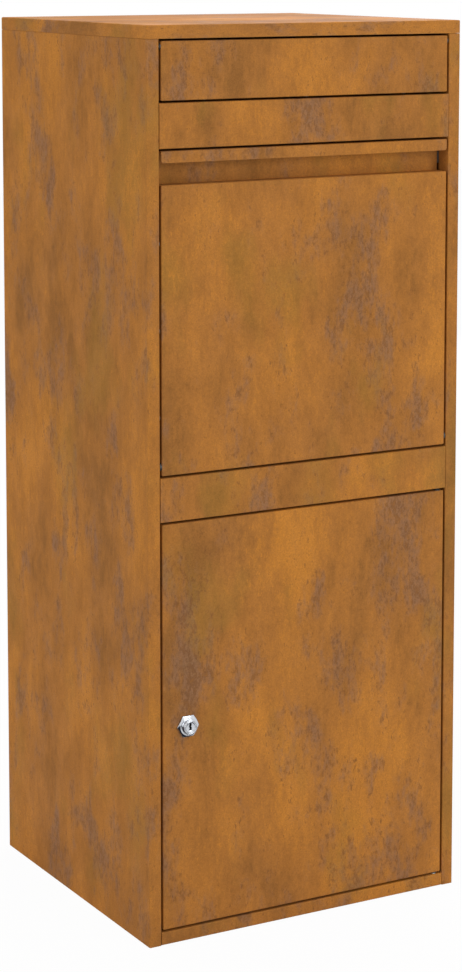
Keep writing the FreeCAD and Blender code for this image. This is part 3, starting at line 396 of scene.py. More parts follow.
def studio_floor(add, place):
    """Matt white floor: the camera and reflections see it lifted towards white, with the shadow kept.

    Under the box it isn't lifted, so it stays dark where it shows through the floor holes.
    """
    look = bpy.context.scene.parcel_box_stage
    mottle = add("TexNoise", Vector=place, Scale=1 / look.mottle, Detail=3.0)
    paint = add("Mix", COLOURS, 2, _0=mottle, _6=rgba(look.floor), _7=rgba(look.floor_light))
    matt = add("BsdfDiffuse", Color=paint)
    white = add("Emission", Color=(1, 1, 1, 1), Strength=1.0)
    reach = add("VectorMath", {"operation": "ABSOLUTE"}, Vector=place)
    reach = add("VectorMath", {"operation": "DIVIDE"}, _0=reach, _1=(*cad_box[1][:2], 1))
    sides = add("SeparateXYZ", Vector=reach).node.outputs
    farther = add("Math", GREATER, _0=sides["X"], _1=sides["Y"])
    outside = add("Math", {"operation": "GREATER_THAN"}, _0=farther, _1=0.98)
    lift = add("Math", {"operation": "MULTIPLY"}, _0=outside, _1=look.paleness)
    share = add("Math", {"operation": "MULTIPLY"}, _0=seen_directly(add), _1=lift)
    return add("MixShader", _0=share, _1=matt, _2=white)


def card_felt(add, place):
    """Dark felt of the card on the floor in front, which only the bright metal reflects."""
    look = bpy.context.scene.parcel_box_stage
    nap = add("TexNoise", Vector=place, Scale=1 / look.nap, Detail=2.0)
    felt = add("Mix", COLOURS, 2, _0=nap, _6=rgba(look.felt), _7=rgba(look.felt_light))
    return add("BsdfDiffuse", Color=felt)


def finish(name):
    """A material that several pieces share, made on first use."""
    metals = bpy.context.scene.parcel_box_metals
    soft = bpy.context.scene.parcel_box_soft
    looks = {
        # half matt grey crystals, the darker ones painted shade
        "galvanised_sheet": (zinc_sheet,),
        # pale, faintly warm grey with a soft shine
        "zinc_plated_steel": (worked_metal, metals.plating, darker(metals.plating, 0.7), 0.34, 0.35),
        # almost black and satin, darker in patches
        "black_zinc_plating": (worked_metal, metals.black_zinc, darker(metals.black_zinc, 0.6), 0.4, 0.4),
        # cool and bright, nearly a mirror
        "bright_chrome": (worked_metal, metals.chrome, darker(metals.chrome, 0.75), 0.16, 0.12),
        # painted shade: dark and dull, so that the keyway's walls and floor read as a hole in shade
        "keyway_painted_shade": (worked_metal, metals.keyway, darker(metals.keyway, 0.5), 0.5, 0.6),
        # brushed grey with straw tint in patches
        "brushed_weld_metal": (worked_metal, metals.weld, metals.straw, 0.42, 0.7),
        # black and matt under a faint grey bloom
        "moulded_rubber": (moulded, soft.rubber, soft.bloom, 0.62, 0.05 * MM),
        # black and smooth, a little glossier than the rubber
        "black_acetal": (moulded, soft.bush, darker(soft.bush, 1.3), 0.42, 0.01 * MM),
    }
    return bpy.data.materials.get(name) or new_material(name, *looks[name])


# ---- Surfaces ----


def skin(rows, loop=False):
    """Closed mesh over rings of points: rows[i, j] is point j of ring i.

    Quads join neighbouring rings. Two flat caps fill the end rings, unless the rings close into a loop. The
    faces are turned outwards by the sign of the volume that they enclose.
    """
    rings, columns = rows.shape[:2]
    index = np.arange(rings * columns).reshape(rings, columns)
    if loop:
        index = np.vstack([index, index[:1]])
    onwards = np.roll(index, -1, axis=1)
    quads = np.stack([index[:-1], onwards[:-1], onwards[1:], index[1:]], axis=-1).reshape(-1, 4)
    caps = [] if loop else [index[0, ::-1], index[-1]]
    points = rows.reshape(-1, 3)
    fans = [np.stack([np.full(columns - 2, cap[0]), cap[1:-1], cap[2:]], axis=-1) for cap in caps]
    triangles = np.vstack([quads[:, [0, 1, 2]], quads[:, [0, 2, 3]], *fans])
    a, b, c = (points[triangles[:, corner]] - points.mean(axis=0) for corner in range(3))
    if np.einsum("ij,ij->", a, np.cross(b, c)) < 0:
        quads = quads[:, ::-1]
        caps = [cap[::-1] for cap in caps]
    return points, quads, caps


def new_object(name, data):
    """A mesh, light or camera as an object in the scene."""
    made = bpy.data.objects.new(name, data)
    bpy.context.scene.collection.objects.link(made)
    return made


def make_piece(name, skins, body, finishes, *replaced):
    """One object from several closed skins, riding on a body and standing for CAD nodes.

    A skin may give a finish's number for each face after its caps; without them it takes the first.
    """
    points = np.vstack([one[0] for one in skins])
    faces = []
    looks = []
    first = 0
    for one in skins:
        faces += (one[1] + first).tolist() + [(cap + first).tolist() for cap in one[2]]
        looks += one[3].tolist() if len(one) > 3 else [0] * (len(one[1]) + len(one[2]))
        first += len(one[0])
    mesh = bpy.data.meshes.new(name)
    mesh.from_pydata(points.tolist(), [], faces)
    mesh.polygons.foreach_set("use_smooth", np.ones(len(faces), bool))
    mesh.polygons.foreach_set("material_index", np.array(looks, np.int32))
    mesh.set_sharp_from_angle(angle=SHARP)
    mesh.update()
    for look in finishes:
        mesh.materials.append(finish(look))
    piece = new_object(name, mesh)
    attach(piece, body)
    if replaced:
        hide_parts(*replaced)


def around(count):
    """So many angles, evenly round a full turn."""
    return np.linspace(0, FULL_TURN, count, endpoint=False)


def rounded(corners, reach, steps=4):
    """A line of (radius, height) corners with its inner corners rounded.

    Each is turned by a quadratic curve that starts and ends one reach from it and has the corner as its
    middle control point.
    """
    corners = np.array(corners, float)
    before, corner, after = corners[:-2], corners[1:-1], corners[2:]
    arms = np.stack([before - corner, after - corner])
    lengths = np.linalg.norm(arms, axis=-1)
    most = 0.45 * lengths.min(axis=0)
    reaches = np.minimum(np.broadcast_to(reach, len(corner)), most)
    start, end = corner + arms * (reaches / lengths)[..., None]
    t = np.linspace(0, 1, steps + 1)[None, :, None]
    curve = start[:, None] * (1 - t) ** 2 + corner[:, None] * 2 * t * (1 - t) + end[:, None] * t ** 2
    return np.vstack([corners[:1], curve.reshape(-1, 2), corners[-1:]])


def axes_about(axis):
    """Two directions across an axis; for an axis along Y or Z the first is to the right."""
    across = BACK if abs(axis[0]) > 0.5 else RIGHT
    return across, np.cross(axis, across)


def turned(profile, centre, axis, columns=48, flats=None, thread=None):
    """Points of a turned part: each (radius, height) of the profile is carried round the axis.

    Where flats is given, the radius is cut to a hexagon: half the flats over the cosine of the angle from
    the middle of the nearest side. Where thread is (pitch, depth, low, high), the radius between those
    heights falls by a triangular wave of the height less one pitch for each turn.
    """
    profile = np.asarray(profile, float)
    radius, height = profile[:, :1], profile[:, 1:2]
    angle = around(columns)[None, :]
    reach = np.broadcast_to(radius, (len(profile), columns)).copy()
    if flats is not None:
        reach = np.minimum(reach, flats / 2 / np.cos(angle % SIXTH_TURN - SIXTH_TURN / 2))
    if thread is not None:
        pitch, depth, low, high = thread
        wave = np.abs(2 * ((height / pitch - angle / FULL_TURN) % 1) - 1)
        inside = np.clip(np.minimum(height - low, high - height) / pitch, 0, 1)
        reach = reach - depth * wave * inside
    across, upright = axes_about(axis)
    spoke = np.cos(angle)[..., None] * across + np.sin(angle)[..., None] * upright
    return centre + reach[..., None] * spoke + np.broadcast_to(height, reach.shape)[..., None] * axis


def filled_in(profile, low, high, step):
    """The profile with rows added between two heights, one step apart, for a thread to show in."""
    rows = [profile[:1]]
    slack = MM / 100
    for a, b in zip(profile[:-1], profile[1:]):
        within = min(a[1], b[1]) >= low - slack and max(a[1], b[1]) <= high + slack
        count = max(1, round(abs(b[1] - a[1]) / step)) if within else 1
        rows.append(a + (b - a) * (np.arange(1, count + 1) / count)[:, None])
    return np.vstack(rows)


def separate_boxes(node, gap=0.02):
    """Boxes of the like pieces in one node: its points are parted wherever an axis has an empty stretch."""
    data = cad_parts[node].data
    points = np.empty(len(data.vertices) * 3, np.float32)
    data.vertices.foreach_get("co", points)
    waiting = [points.reshape(-1, 3).astype(float)]
    boxes = []
    while waiting:
        group = waiting.pop()
        order = np.argsort(group, axis=0)
        steps = np.diff(np.take_along_axis(group, order, axis=0), axis=0)
        axis = steps.max(axis=0).argmax()
        if steps[:, axis].max() > gap:
            cut = steps[:, axis].argmax() + 1
            waiting += [group[order[:cut, axis]], group[order[cut:, axis]]]
        else:
            boxes.append((group.min(axis=0), group.max(axis=0)))
    return sorted(boxes, key=lambda box: tuple(box[0].round(4)))


def node_box(node):
    low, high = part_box(node)
    return np.array(low), np.array(high)


def seat(box, axis):
    """Middle of the face the axis points out of, half the width across it, and the far end's height."""
    low, high = box
    length = np.abs(axis) @ (high - low)
    width = ((high - low) * (1 - np.abs(axis))).max()
    return (low + high) / 2 + axis * length / 2, width / 2, -length


# ---- Parts of a kind ----


def hexagon(corner):
    """Of a hexagon with that radius at its corners: width across flats, chamfer's start, and its fall.

    The width is the radius times the square root of three, and the chamfer falls by the tangent of its angle.
    """
    flats = corner * math.sqrt(3)
    crown = flats * CROWN
    return flats, crown, (corner - crown) * math.tan(CHAMFER)


def dome(radius, height, rise, start=0.35):
    """Quarter of an ellipse, from near the middle of a head's crown down to its rim."""
    angle = np.linspace(start, math.pi / 2, 7)
    return np.stack([radius * np.sin(angle), height - rise * (1 - np.cos(angle))], axis=-1)


def blind_rivet(box, axis, look):
    """Blind rivet: domed head with the mandrel's hole, shank, and the tail that the mandrel spread."""
    centre, radius, end = seat(box, axis)
    tail = end + look.rivet_tail_height
    middle = [(look.mandrel * 0.8, -look.mandrel_depth), (look.mandrel, -look.mandrel_depth * 0.9)]
    under = [(look.rivet_shank, -look.rivet_head), (look.rivet_shank, tail)]
    spread = dome(look.rivet_tail, tail, look.rivet_tail_height, 0.25)[::-1]
    crown = dome(radius, 0, look.rivet_head * 0.8)
    rim = [(radius, -look.rivet_head)]
    return skin(turned(np.vstack([middle, crown, rim, under, spread]), centre, axis, 24))


def hexagon_screw(box, axis, head, radius, look):
    """Hexagon head screw; the axis points out of its head, whose top is chamfered out to the corners."""
    centre, corner, end = seat(box, axis)
    flats, crown, fall = hexagon(corner)
    profile = np.array([
        (crown * 0.7, -FINE), (crown * 0.8, 0), (crown, 0), (corner, -fall), (corner, -head),
        (radius, -head), (radius, end + look.edge), (radius - look.edge, end),
    ])
    profile = filled_in(profile, -fall, 0, fall / ROWS)
    profile = filled_in(profile, end + look.edge, -head, look.pitch / ROWS)
    thread = (look.pitch, look.pitch * THREAD_DEPTH, end, -head - look.pitch / 2)
    return skin(turned(profile, centre, axis, flats=flats, thread=thread))


def countersunk_screw(box, axis, radius, look):
    """Countersunk screw with a hexagon socket; the axis points out of its head."""
    centre, head, end = seat(box, axis)
    wide = look.socket_flats
    rim = look.edge / 3
    socket = np.array([(wide, -look.socket_depth), (wide, -FINE), (wide * 1.05, 0)])
    outside = np.array([
        (wide * 0.65, 0), (head - rim, 0), (head, -rim), (radius, radius - head - rim),
        (radius, end + look.edge), (radius - look.edge, end),
    ])
    outside = filled_in(outside, end + look.edge, radius - head, look.pitch / ROWS)
    thread = (look.pitch, look.pitch * THREAD_DEPTH, end, radius - head - look.pitch)
    return skin(np.vstack([turned(socket, centre, axis, flats=look.socket_flats),
                           turned(outside, centre, axis, thread=thread)]))


def hexagon_nut(box, axis, bore, pitch, columns=72):
    """Hexagon nut: both faces chamfered out to the corners, and a threaded bore."""
    centre, corner, end = seat(box, axis)
    flats, crown, fall = hexagon(corner)
    profile = np.array([
        (bore, 0), (crown, 0), (corner, -fall), (corner, end + fall), (crown, end), (bore, end), (bore, 0),
    ])
    profile = filled_in(profile, -fall, 0, fall / ROWS)
    profile = filled_in(profile, end, end + fall, fall / ROWS)
    walls = int(round(-end / pitch * 8))
    rise = np.stack([np.full(walls, bore), np.linspace(end, 0, walls + 2)[1:-1]], axis=-1)
    profile = np.vstack([profile[:-1], rise])
    thread = (pitch, -pitch * 0.3, end, 0)
    return skin(turned(profile, centre, axis, columns, flats, thread), loop=True)


def shoulder_pin(box, axis, head, radius, look, shoulder=0.0, thread_radius=0.0):
    """Hinge pin: rounded head with a turning centre, shank, and a threaded end if it has a shoulder."""
    centre, rim, end = seat(box, axis)
    bevel = 2 * look.edge
    front = rounded([(look.mandrel * 0.4, -look.mandrel_depth), (look.mandrel, 0), (rim, 0), (rim, -head),
                     (radius, -head)], look.edge)
    if shoulder:
        rest = [(radius, -shoulder), (thread_radius, -shoulder), (thread_radius, end + bevel),
                (thread_radius - bevel, end)]
    else:
        rest = [(radius, end + bevel), (radius - bevel, end)]
    profile = filled_in(np.vstack([front, rest]), end + bevel, -shoulder, look.pitch / ROWS)
    thread = (look.pitch, look.pitch * THREAD_DEPTH, end, -shoulder - look.pitch) if shoulder else None
    return skin(turned(profile, centre, axis, thread=thread))


def rubber_disc(box, axis, look):
    """Rubber disc with a rounded rim and a dished face; the axis points out of the face.

    From the middle out to the brim, the dish's depth goes as the square of one less the square of the
    radius over the brim's.
    """
    centre, radius, end = seat(box, axis)
    brim = 0.8
    share = np.linspace(0.05, brim, 8)
    dish = np.stack([radius * share, -look.disc_dish * (1 - (share / brim) ** 2) ** 2], axis=-1)
    rim = rounded([(radius * 0.85, 0), (radius, 0), (radius, end)], look.disc_edge)
    foot = [(radius * 0.5, end)]
    return skin(turned(np.vstack([dish, rim, foot]), centre, axis))


def rubber_block(box, look):
    """Rubber pad: a rectangle whose corners and lower rim are rounded.

    Round the pad the point is half the size times the cosine and sine, each to a quarter power. From the
    top down, the outline draws in by a quarter circle at the lower rim.
    """
    low, high = box
    angle = around(48)
    circle = np.stack([np.cos(angle), np.sin(angle)], axis=-1)
    outline = np.sign(circle) * np.abs(circle) ** 0.25
    bend = np.linspace(0, math.pi / 2, 6)
    level = np.append(high[2], low[2] + look.disc_edge * (1 - np.sin(bend)))
    draw = np.append(0, look.disc_edge * (1 - np.cos(bend)))
    half = (high - low)[:2] / 2
    middle = (high + low)[:2] / 2
    plan = middle + outline[None] * (half - draw[:, None])[:, None]
    heights = np.broadcast_to(level[:, None, None], (*plan.shape[:2], 1))
    return skin(np.concatenate([plan, heights], axis=-1))


def fillet_stitch(corner, along, first, second, length, look):
    """Stitch of fillet weld in the corner between two sheets.

    A quarter round of eight points is carried along the corner. Its leg grows and shrinks with a sine of
    the ripple's pitch, and both ends fall away by an eighth-power curve.
    """
    taper, swell, flatness, root, drag = 0.85, 0.09, 0.55, 0.05, 0.6
    count = int(round(length / look.ripple * 8))
    run = np.linspace(-1, 1, count)
    ripple = np.sin(FULL_TURN * run * length / 2 / look.ripple)
    leg = look.leg * (1 - taper * np.abs(run) ** 8) * (1 + swell * ripple)
    angle = np.linspace(0, math.pi / 2, 8)
    reach = (np.cos(angle) + np.sin(angle)) ** -flatness
    edge = reach[:, None] * (np.cos(angle)[:, None] * first + np.sin(angle)[:, None] * second)
    ring = np.vstack([-root * (first + second), edge])
    lag = np.append(0, np.sin(2 * angle)) * look.ripple * drag
    rows = (corner + leg[:, None, None] * ring + (run * length / 2)[:, None, None] * along
            + lag[None, :, None] * along)
    return skin(rows)


# ---- Operators ----


def dress(nodes, material):
    """Gives CAD nodes their finish."""
    for node in nodes:
        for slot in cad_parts[node].material_slots:
            slot.material = material


class PARCELBOX_OT_outer_sheets(bpy.types.Operator):
    """Give each outer sheet its own rust patina"""

    bl_idname = "parcel_box.outer_sheets"
    bl_label = "Outer sheets"

    def execute(self, context):
        upright = {
            "side_panel_left": 0.0, "side_panel_right": 1.7, "back_panel": 3.4, "upper_front_rail": 45.1,
            "middle_front_rail": 6.8, "drop_door_skin": 88.5, "letter_flap_skin": 10.2,
            "retrieval_door_skin": 11.9, "base_pan": 13.6,
        }
        for node, seed in upright.items():
            dress([node], new_material(f"weathering_steel_{node}", weathering_steel, seed))
        lying = new_material("weathering_steel_roof_cap", weathering_steel, 31.0, (0, math.pi / 2, 0))
        dress(["roof_cap"], lying)
        return {"FINISHED"}


class PARCELBOX_OT_inner_sheets(bpy.types.Operator):
    """Finish the zinc-coated sheets inside the cabinet and the doors"""

    bl_idname = "parcel_box.inner_sheets"
    bl_label = "Inner sheets"

    def execute(self, context):
        sheets = ("letter_chute", "anti_theft_baffle", "hopper_stop_left", "hopper_stop_right",
                  "drop_door_rests", "door_stop_strip", "lock_strike", "drop_door_liner", "hopper_tray",
                  "hopper_cheek_left", "hopper_cheek_right", "flap_stop_bar", "retrieval_door_liner",
                  "door_stiffener_left", "door_stiffener_right")
        dress(sheets, finish("galvanised_sheet"))
        return {"FINISHED"}


class PARCELBOX_OT_hinge_hardware(bpy.types.Operator):
    """Finish the hinge plates, the washer, the flap's rod with its clips, and the bushes"""

    bl_idname = "parcel_box.hinge_hardware"
    bl_label = "Hinge hardware"

    def execute(self, context):
        dress(("drop_hinge_plate_left", "drop_hinge_plate_right", "door_washer", "flap_rod",
               "flap_rod_clips"), finish("zinc_plated_steel"))
        dress(("drop_hinge_bush_left", "drop_hinge_bush_right", "flap_bush_left", "flap_bush_right",
               "door_bush_top", "door_bush_bottom"), finish("black_acetal"))
        return {"FINISHED"}


def lock_axis_start():
    """Where the lock's axis meets the face of the retrieval door."""
    low, high = node_box("lock_body")
    return np.array([(low[0] + high[0]) / 2, node_box("retrieval_door_skin")[0][1], (low[2] + high[2]) / 2])


class PARCELBOX_OT_lock_body(bpy.types.Operator):
    """Chamfered hexagon head, round face and threaded barrel of the cam lock"""

    bl_idname = "parcel_box.lock_body"
    bl_label = "Lock body"

    def execute(self, context):
        look = context.scene.parcel_box_lock
        low, high = node_box("lock_body")
        start = lock_axis_start()
        flats = high[2] - low[2]
        corner = flats / math.sqrt(3)
        top = start[1] - low[1]
        back = start[1] - high[1]
        bore = look.plug + SNUG
        ring = look.face - look.ring_inset
        # (radius, height) from the bore's back end up to the face, out to the rim and down the outside
        corners = [
            (bore, back), (bore, top), (ring - look.groove, top), (ring, top - look.groove),
            (ring + look.groove, top), (look.face, top), (look.face, look.hexagon),
            (look.chamfer_start, look.hexagon), (corner, look.hexagon - look.chamfer_fall), (corner, 0),
            (look.barrel, 0), (look.barrel, back), (bore, back),
        ]
        reaches = [FINE] * 4 + [look.face_edge, look.collar] + [FINE] * 4 + [look.face_edge]
        profile = rounded(corners, reaches)[:-1]
        profile = filled_in(profile, look.hexagon - look.chamfer_fall, look.hexagon, look.chamfer_fall / 10)
        profile = filled_in(profile, back, 0, look.pitch / 8)
        thread = (look.pitch, look.pitch * 0.45, back, -look.pitch)
        body = skin(turned(profile, start, -BACK, LOCK_COLUMNS, flats, thread), loop=True)
        make_piece("lock_body_chromed", [body], "retrieval_door", ["bright_chrome"], "lock_body")
        return {"FINISHED"}


def keyway_outline(look, columns):
    """Keyway seen from the front, from its foot up the right side and down the left.

    The height goes as minus the cosine of an angle. The half width is the slot's, less a smooth ward on
    each side at its own height, and both ends are closed by a sixth-power curve.
    """
    angle = around(columns)
    level = -np.cos(angle)
    side = np.where(np.sin(angle) >= 0, 1.0, -1.0)
    ward_level = np.where(side > 0, 0.30, -0.25)
    spread = 0.16
    narrowed = look.key_slot_width / 2 - look.ward * np.exp(-((level - ward_level) / spread) ** 2)
    half = narrowed * np.clip(1 - level ** 6, 0, 1) ** (1 / 6)
    return np.stack([side * half, level * look.key_slot_height / 2], axis=-1), angle - math.pi / 2


class PARCELBOX_OT_lock_plug(bpy.types.Operator):
    """Lock plug with its warded keyway"""

    bl_idname = "parcel_box.lock_plug"
    bl_label = "Lock plug"

    def execute(self, context):
        look = context.scene.parcel_box_lock
        low, high = node_box("lock_plug")
        start = lock_axis_start()
        front, back = start[1] - low[1], start[1] - high[1]
        # a circle's point stands midway between an even angle and its own angle on the keyway's outline
        slot, even = keyway_outline(look, LOCK_COLUMNS)
        angle = np.unwrap(np.arctan2(slot[:, 1], slot[:, 0]))
        angle = (angle - angle[0] - math.pi / 2 + even) / 2
        circle = np.stack([np.cos(angle), np.sin(angle)], axis=-1)
        edge = 0.3 * MM
        dish = 0.12 * MM
        flare = 1.06
        rings = [
            (circle * (look.plug - edge), back), (circle * look.plug, back + edge),
            (circle * look.plug, front - edge), (circle * (look.plug - edge / 3), front - edge / 3),
            (circle * (look.plug - edge), front), (circle * (look.plug - 3 * edge), front - dish),
            (slot * flare, front - dish), (slot, front - 2 * dish), (slot, front - look.key_slot_depth),
        ]
        rows = np.stack([start + ring[:, :1] * RIGHT + ring[:, 1:] * UP - height * BACK
                         for ring, height in rings])
        # painted shade: the keyway's walls and its floor cap take the dark second finish
        keyway_shade_rings = np.arange(len(rings) - 1) == len(rings) - 2
        looks = np.append(np.repeat(keyway_shade_rings, LOCK_COLUMNS), [False, True]).astype(int)
        make_piece("lock_plug_keyed", [(*skin(rows), looks)], "lock_plug_and_cam",
                   ["bright_chrome", "keyway_painted_shade"], "lock_plug")
        return {"FINISHED"}


class PARCELBOX_OT_lock_cam(bpy.types.Operator):
    """Cam of the lock, with rounded edges, and the screw that holds it"""

    bl_idname = "parcel_box.lock_cam"
    bl_label = "Lock cam"

    def execute(self, context):
        look = context.scene.parcel_box_lock
        small = context.scene.parcel_box_fasteners
        low, high = node_box("lock_cam")
        half = (high[0] - low[0]) / 2
        pivot = np.array([(low[0] + high[0]) / 2, 0, high[2] - half])
        foot = high[2] - low[2] - 2 * half
        columns = 64
        angle = around(columns) + FULL_TURN / columns / 2
        circle = np.cos(angle)[:, None] * RIGHT + np.sin(angle)[:, None] * UP
        # a ring round the cam is a circle whose lower half is dropped to the cam's foot
        lowered = pivot - np.where(np.sin(angle) < 0, foot, 0)[:, None] * UP
        edge = look.cam_edge
        bevel = edge / 2
        inset = 0.3 * edge  # middle of the rounding, in from both faces
        hole = look.cam_hole
        rings = [
            (pivot, hole, low[1] + bevel), (pivot, hole, high[1] - bevel), (pivot, hole + bevel, high[1]),
            (lowered, half - edge, high[1]), (lowered, half - inset, high[1] - inset),
            (lowered, half, high[1] - edge), (lowered, half, low[1] + edge),
            (lowered, half - inset, low[1] + inset), (lowered, half - edge, low[1]),
            (pivot, hole + bevel, low[1]),
        ]
        rows = np.stack([middle + reach * circle + level * BACK for middle, reach, level in rings])
        make_piece("lock_cam_rounded", [skin(rows, loop=True)], "lock_plug_and_cam", ZINC, "lock_cam")
        screw = hexagon_screw(node_box("cam_screw"), BACK, look.cam_screw_head, hole, small)
        make_piece("cam_screw_threaded", [screw], "lock_plug_and_cam", ZINC, "cam_screw")
        return {"FINISHED"}


class PARCELBOX_OT_nuts(bpy.types.Operator):
    """Hexagon nuts of the lock and of the drop door's hinge pins"""

    bl_idname = "parcel_box.nuts"
    bl_label = "Nuts"

    def execute(self, context):
        look = context.scene.parcel_box_fasteners
        lock = context.scene.parcel_box_lock
        clamp = hexagon_nut(node_box("lock_nut"), BACK, lock.barrel + SNUG, lock.pitch, LOCK_COLUMNS)
        make_piece("lock_nut_chamfered", [clamp], "retrieval_door", ZINC, "lock_nut")
        nuts = [hexagon_nut(box, RIGHT * np.sign(box[0][0]), look.pin_thread, look.pitch)
                for box in separate_boxes("drop_hinge_nuts")]
        make_piece("hinge_nuts_chamfered", nuts, "cabinet", ZINC, "drop_hinge_nuts")
        return {"FINISHED"}


class PARCELBOX_OT_rivets(bpy.types.Operator):
    """Blind rivets, each with its domed head and its spread tail"""

    bl_idname = "parcel_box.rivets"
    bl_label = "Rivets"

    def execute(self, context):
        look = context.scene.parcel_box_fasteners
        rows = (
            ("rail_rivets", "cabinet", -RIGHT), ("chute_rivets", "cabinet", -BACK),
            ("cheek_rivets", "drop_door", RIGHT), ("tray_rivets", "drop_door", BACK),
            ("flap_rivets", "letter_flap", -UP), ("liner_rivets", "retrieval_door", BACK),
        )
        for node, body, axis in rows:
            rivets = []
            for box in separate_boxes(node, look.rivet_gap):
                # an axis along X is mirrored on the left
                outwards = axis * np.sign(box[0][0]) if axis[0] else axis
                rivets.append(blind_rivet(box, outwards, look))
            make_piece(f"{node}_domed", rivets, body, ZINC, node)
        return {"FINISHED"}


class PARCELBOX_OT_screws(bpy.types.Operator):
    """Countersunk screws of the back panel and hexagon screws under the roof"""

    bl_idname = "parcel_box.screws"
    bl_label = "Screws"

    def execute(self, context):
        look = context.scene.parcel_box_fasteners
        rear = [countersunk_screw(box, BACK, look.screw, look)
                for box in separate_boxes("back_panel_screws")]
        make_piece("back_panel_screws_socketed", rear, "cabinet", ZINC, "back_panel_screws")
        under = [hexagon_screw(box, -UP, look.hexagon_head, look.screw, look)
                 for box in separate_boxes("roof_screws")]
        make_piece("roof_screws_threaded", under, "cabinet", ZINC, "roof_screws")
        return {"FINISHED"}


class PARCELBOX_OT_hinge_pins(bpy.types.Operator):
    """Shoulder pins of the drop door and upright pins of the retrieval door"""

    bl_idname = "parcel_box.hinge_pins"
    bl_label = "Hinge pins"

    def execute(self, context):
        look = context.scene.parcel_box_fasteners
        pins = []
        for outwards, name in ((-RIGHT, "left"), (RIGHT, "right")):
            node = f"drop_hinge_pin_{name}"
            plate = node_box(f"drop_hinge_plate_{name}")
            shoulder = np.abs(seat(plate, outwards)[0] - seat(node_box(node), -outwards)[0])[0]
            pins.append((node, -outwards, look.pin_head, look.drop_pin, look, shoulder, look.pin_thread))
        for axis, name in ((UP, "top"), (-UP, "bottom")):
            pins.append((f"door_hinge_pin_{name}", axis, look.door_pin_head, look.door_pin, look))
        for node, *sizes in pins:
            pin = shoulder_pin(node_box(node), *sizes)
            make_piece(f"{node}_turned", [pin], "cabinet", ["black_zinc_plating"], node)
        return {"FINISHED"}


class PARCELBOX_OT_rubber_stops(bpy.types.Operator):
    """Rubber discs that the doors close against, and the pads under the hopper's stops"""

    bl_idname = "parcel_box.rubber_stops"
    bl_label = "Rubber stops"

    def execute(self, context):
        look = context.scene.parcel_box_soft
        for node in ("door_bumpers", "drop_door_bumpers"):
            discs = [rubber_disc(box, -BACK, look) for box in separate_boxes(node)]
            make_piece(f"{node}_moulded", discs, "cabinet", ["moulded_rubber"], node)
        node = "hopper_stop_buffers"
        pads = [rubber_block(box, look) for box in separate_boxes(node)]
        make_piece(f"{node}_moulded", pads, "cabinet", ["moulded_rubber"], node)
        return {"FINISHED"}


class PARCELBOX_OT_welds(bpy.types.Operator):
    """Stitch welds that hold the inner pieces to the side panels and the strips"""

    bl_idname = "parcel_box.welds"
    bl_label = "Welds"

    def execute(self, context):
        look = context.scene.parcel_box_welds
        wall = node_box("side_panel_right")[1][0] - look.wall
        strike_low, strike_high = node_box("lock_strike")
        middle = (strike_low[2] + strike_high[2]) / 2
        seams = [((-wall, strike_high[1], middle + offset), UP, RIGHT, BACK, 0.6 * look.stitch)
                 for offset in (-0.7 * look.stitch, 0.7 * look.stitch)]
        for side, name in ((-1, "left"), (1, "right")):
            inwards = -side * RIGHT
            low, high = node_box("anti_theft_baffle")
            levels = low[2] + (high[2] - low[2]) * np.array([0.12, 0.5, 0.88])
            seams += [((side * wall, high[1], level), UP, inwards, BACK, look.stitch) for level in levels]
            low, high = node_box(f"hopper_stop_{name}")
            length = high[1] - low[1]
            seams += [((side * wall, (low[1] + high[1]) / 2, high[2]), BACK, inwards, UP, 0.8 * length)]
            low, high = node_box(f"drop_hinge_plate_{name}")
            length = high[1] - low[1]
            inner = side * np.abs([low[0], high[0]]).min()
            seams += [((inner, (low[1] + high[1]) / 2, level), BACK, -inwards, up, 0.7 * length)
                      for level, up in ((high[2], UP), (low[2], -UP))]
            low, high = node_box("base_pan")
            places = low[1] + (high[1] - low[1]) * np.array([0.14, 0.38, 0.62, 0.86])
            seams += [((side * wall, place, high[2]), BACK, inwards, UP, look.stitch) for place in places]
        stitches = [fillet_stitch(*seam, look) for seam in seams]
        make_piece("stitch_welds", stitches, "cabinet", ["brushed_weld_metal"])
        return {"FINISHED"}


def soft_box(name, place, aim, side, power):
    """Large soft light: a square panel at a place, turned to a point."""
    lamp = bpy.data.lights.new(name, "AREA")
    lamp.shape = "SQUARE"
    lamp.size = side
    lamp.energy = power
    light = new_object(name, lamp)
    light.location = place
    light.rotation_euler = (Vector(aim) - Vector(place)).to_track_quat("-Z", "Y").to_euler()


def flat_sheet(name, outline, height, build):
    """Level sheet with one face and its own material."""
    mesh = bpy.data.meshes.new(name)
    mesh.from_pydata([(x, y, height) for x, y in outline], [], [range(len(outline))])
    mesh.materials.append(new_material(*build))
    return new_object(name, mesh)


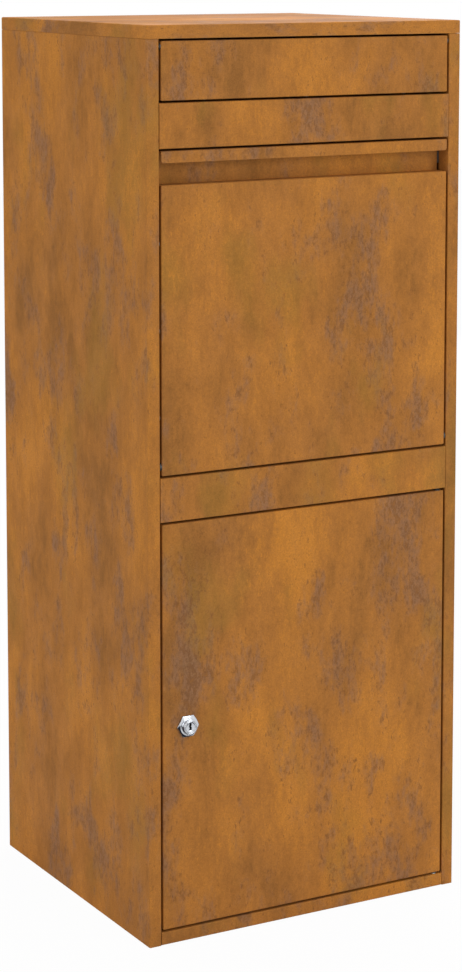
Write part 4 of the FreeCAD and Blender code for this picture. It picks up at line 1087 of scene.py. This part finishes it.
class PARCELBOX_OT_stage(bpy.types.Operator):
    """White floor and room, soft studio lights and the camera"""

    bl_idname = "parcel_box.stage"
    bl_label = "Stage"

    def execute(self, context):
        look = context.scene.parcel_box_stage
        half = look.floor_size / 2
        square = ((-half, -half), (half, -half), (half, half), (-half, half))
        floor = flat_sheet("studio_floor", square, 0, ("matt_white_floor", studio_floor))

        stepped = ((-1.5, -1.9), (-0.12, -1.9), (-0.12, -0.62), (0.35, -0.62), (0.35, -0.22), (-1.5, -0.22))
        flag = flat_sheet("dark_card", stepped, look.card_height, ("dark_felt", card_felt))
        flag.visible_camera = flag.visible_diffuse = flag.visible_shadow = False

        world = bpy.data.worlds.new("white_room")
        world.use_nodes = True
        world.node_tree.nodes.clear()
        add = partial(add_node, world.node_tree)
        strength = add("MapRange", Value=seen_directly(add), To_Min=look.ambient, To_Max=1.0)
        room = add("Background", Color=(1, 1, 1, 1), Strength=strength)
        add("OutputWorld", Surface=room)
        context.scene.world = world

        middle = (0, 0, 0.55)
        soft_box("overhead_soft_light", (0.1, 0.1, 3.3), (0, 0, 0.9), look.panel_size, look.overhead)
        soft_box("front_soft_light", (1.3, -3.8, 1.6), middle, look.panel_size, look.front)
        soft_box("left_soft_light", (-3.8, -0.9, 1.6), middle, look.panel_size, look.left)
        soft_box("rear_soft_light", (2.9, 2.7, 1.6), middle, look.panel_size, look.rear)

        lens = bpy.data.cameras.new("camera")
        lens.lens = look.lens
        lens.shift_y = look.shift
        camera = new_object("camera", lens)
        camera.location = look.camera_place
        camera.rotation_euler = (math.pi / 2 - look.camera_pitch, 0, -look.camera_yaw)
        context.scene.camera = camera
        context.scene.view_settings.view_transform = "Standard"
        return {"FINISHED"}


# ---- Panel and registration ----

SETTINGS = {
    "parcel_box_patina": PatinaSettings,
    "parcel_box_metals": MetalSettings,
    "parcel_box_soft": SoftSettings,
    "parcel_box_lock": LockSettings,
    "parcel_box_fasteners": FastenerSettings,
    "parcel_box_welds": WeldSettings,
    "parcel_box_stage": StageSettings,
}

OPERATORS = (
    PARCELBOX_OT_stage, PARCELBOX_OT_outer_sheets, PARCELBOX_OT_inner_sheets, PARCELBOX_OT_hinge_hardware,
    PARCELBOX_OT_lock_body, PARCELBOX_OT_lock_plug, PARCELBOX_OT_lock_cam, PARCELBOX_OT_nuts,
    PARCELBOX_OT_rivets, PARCELBOX_OT_screws, PARCELBOX_OT_hinge_pins, PARCELBOX_OT_rubber_stops,
    PARCELBOX_OT_welds,
)


class PARCELBOX_PT_pieces(bpy.types.Panel):
    """Lists the pieces' operators and their settings"""

    bl_idname = "PARCELBOX_PT_pieces"
    bl_label = "Parcel and letter box"
    bl_space_type = "VIEW_3D"
    bl_region_type = "UI"
    bl_category = "Parcel box"

    def draw(self, context):
        for operator in OPERATORS:
            self.layout.operator(operator.bl_idname)
        for pointer, group in SETTINGS.items():
            box = self.layout.box()
            box.label(text=group.__doc__)
            for name in group.__annotations__:
                box.prop(getattr(context.scene, pointer), name)


CLASSES = (*SETTINGS.values(), *OPERATORS, PARCELBOX_PT_pieces)


def register():
    for kind in CLASSES:
        bpy.utils.register_class(kind)
    for pointer, group in SETTINGS.items():
        setattr(bpy.types.Scene, pointer, PointerProperty(type=group))


def unregister():
    for pointer in SETTINGS:
        delattr(bpy.types.Scene, pointer)
    for kind in CLASSES:
        bpy.utils.unregister_class(kind)


def main():
    register()
    for operator in OPERATORS:
        family, name = operator.bl_idname.split(".")
        getattr(getattr(bpy.ops, family), name)()


if __name__ == "__main__":
    main()
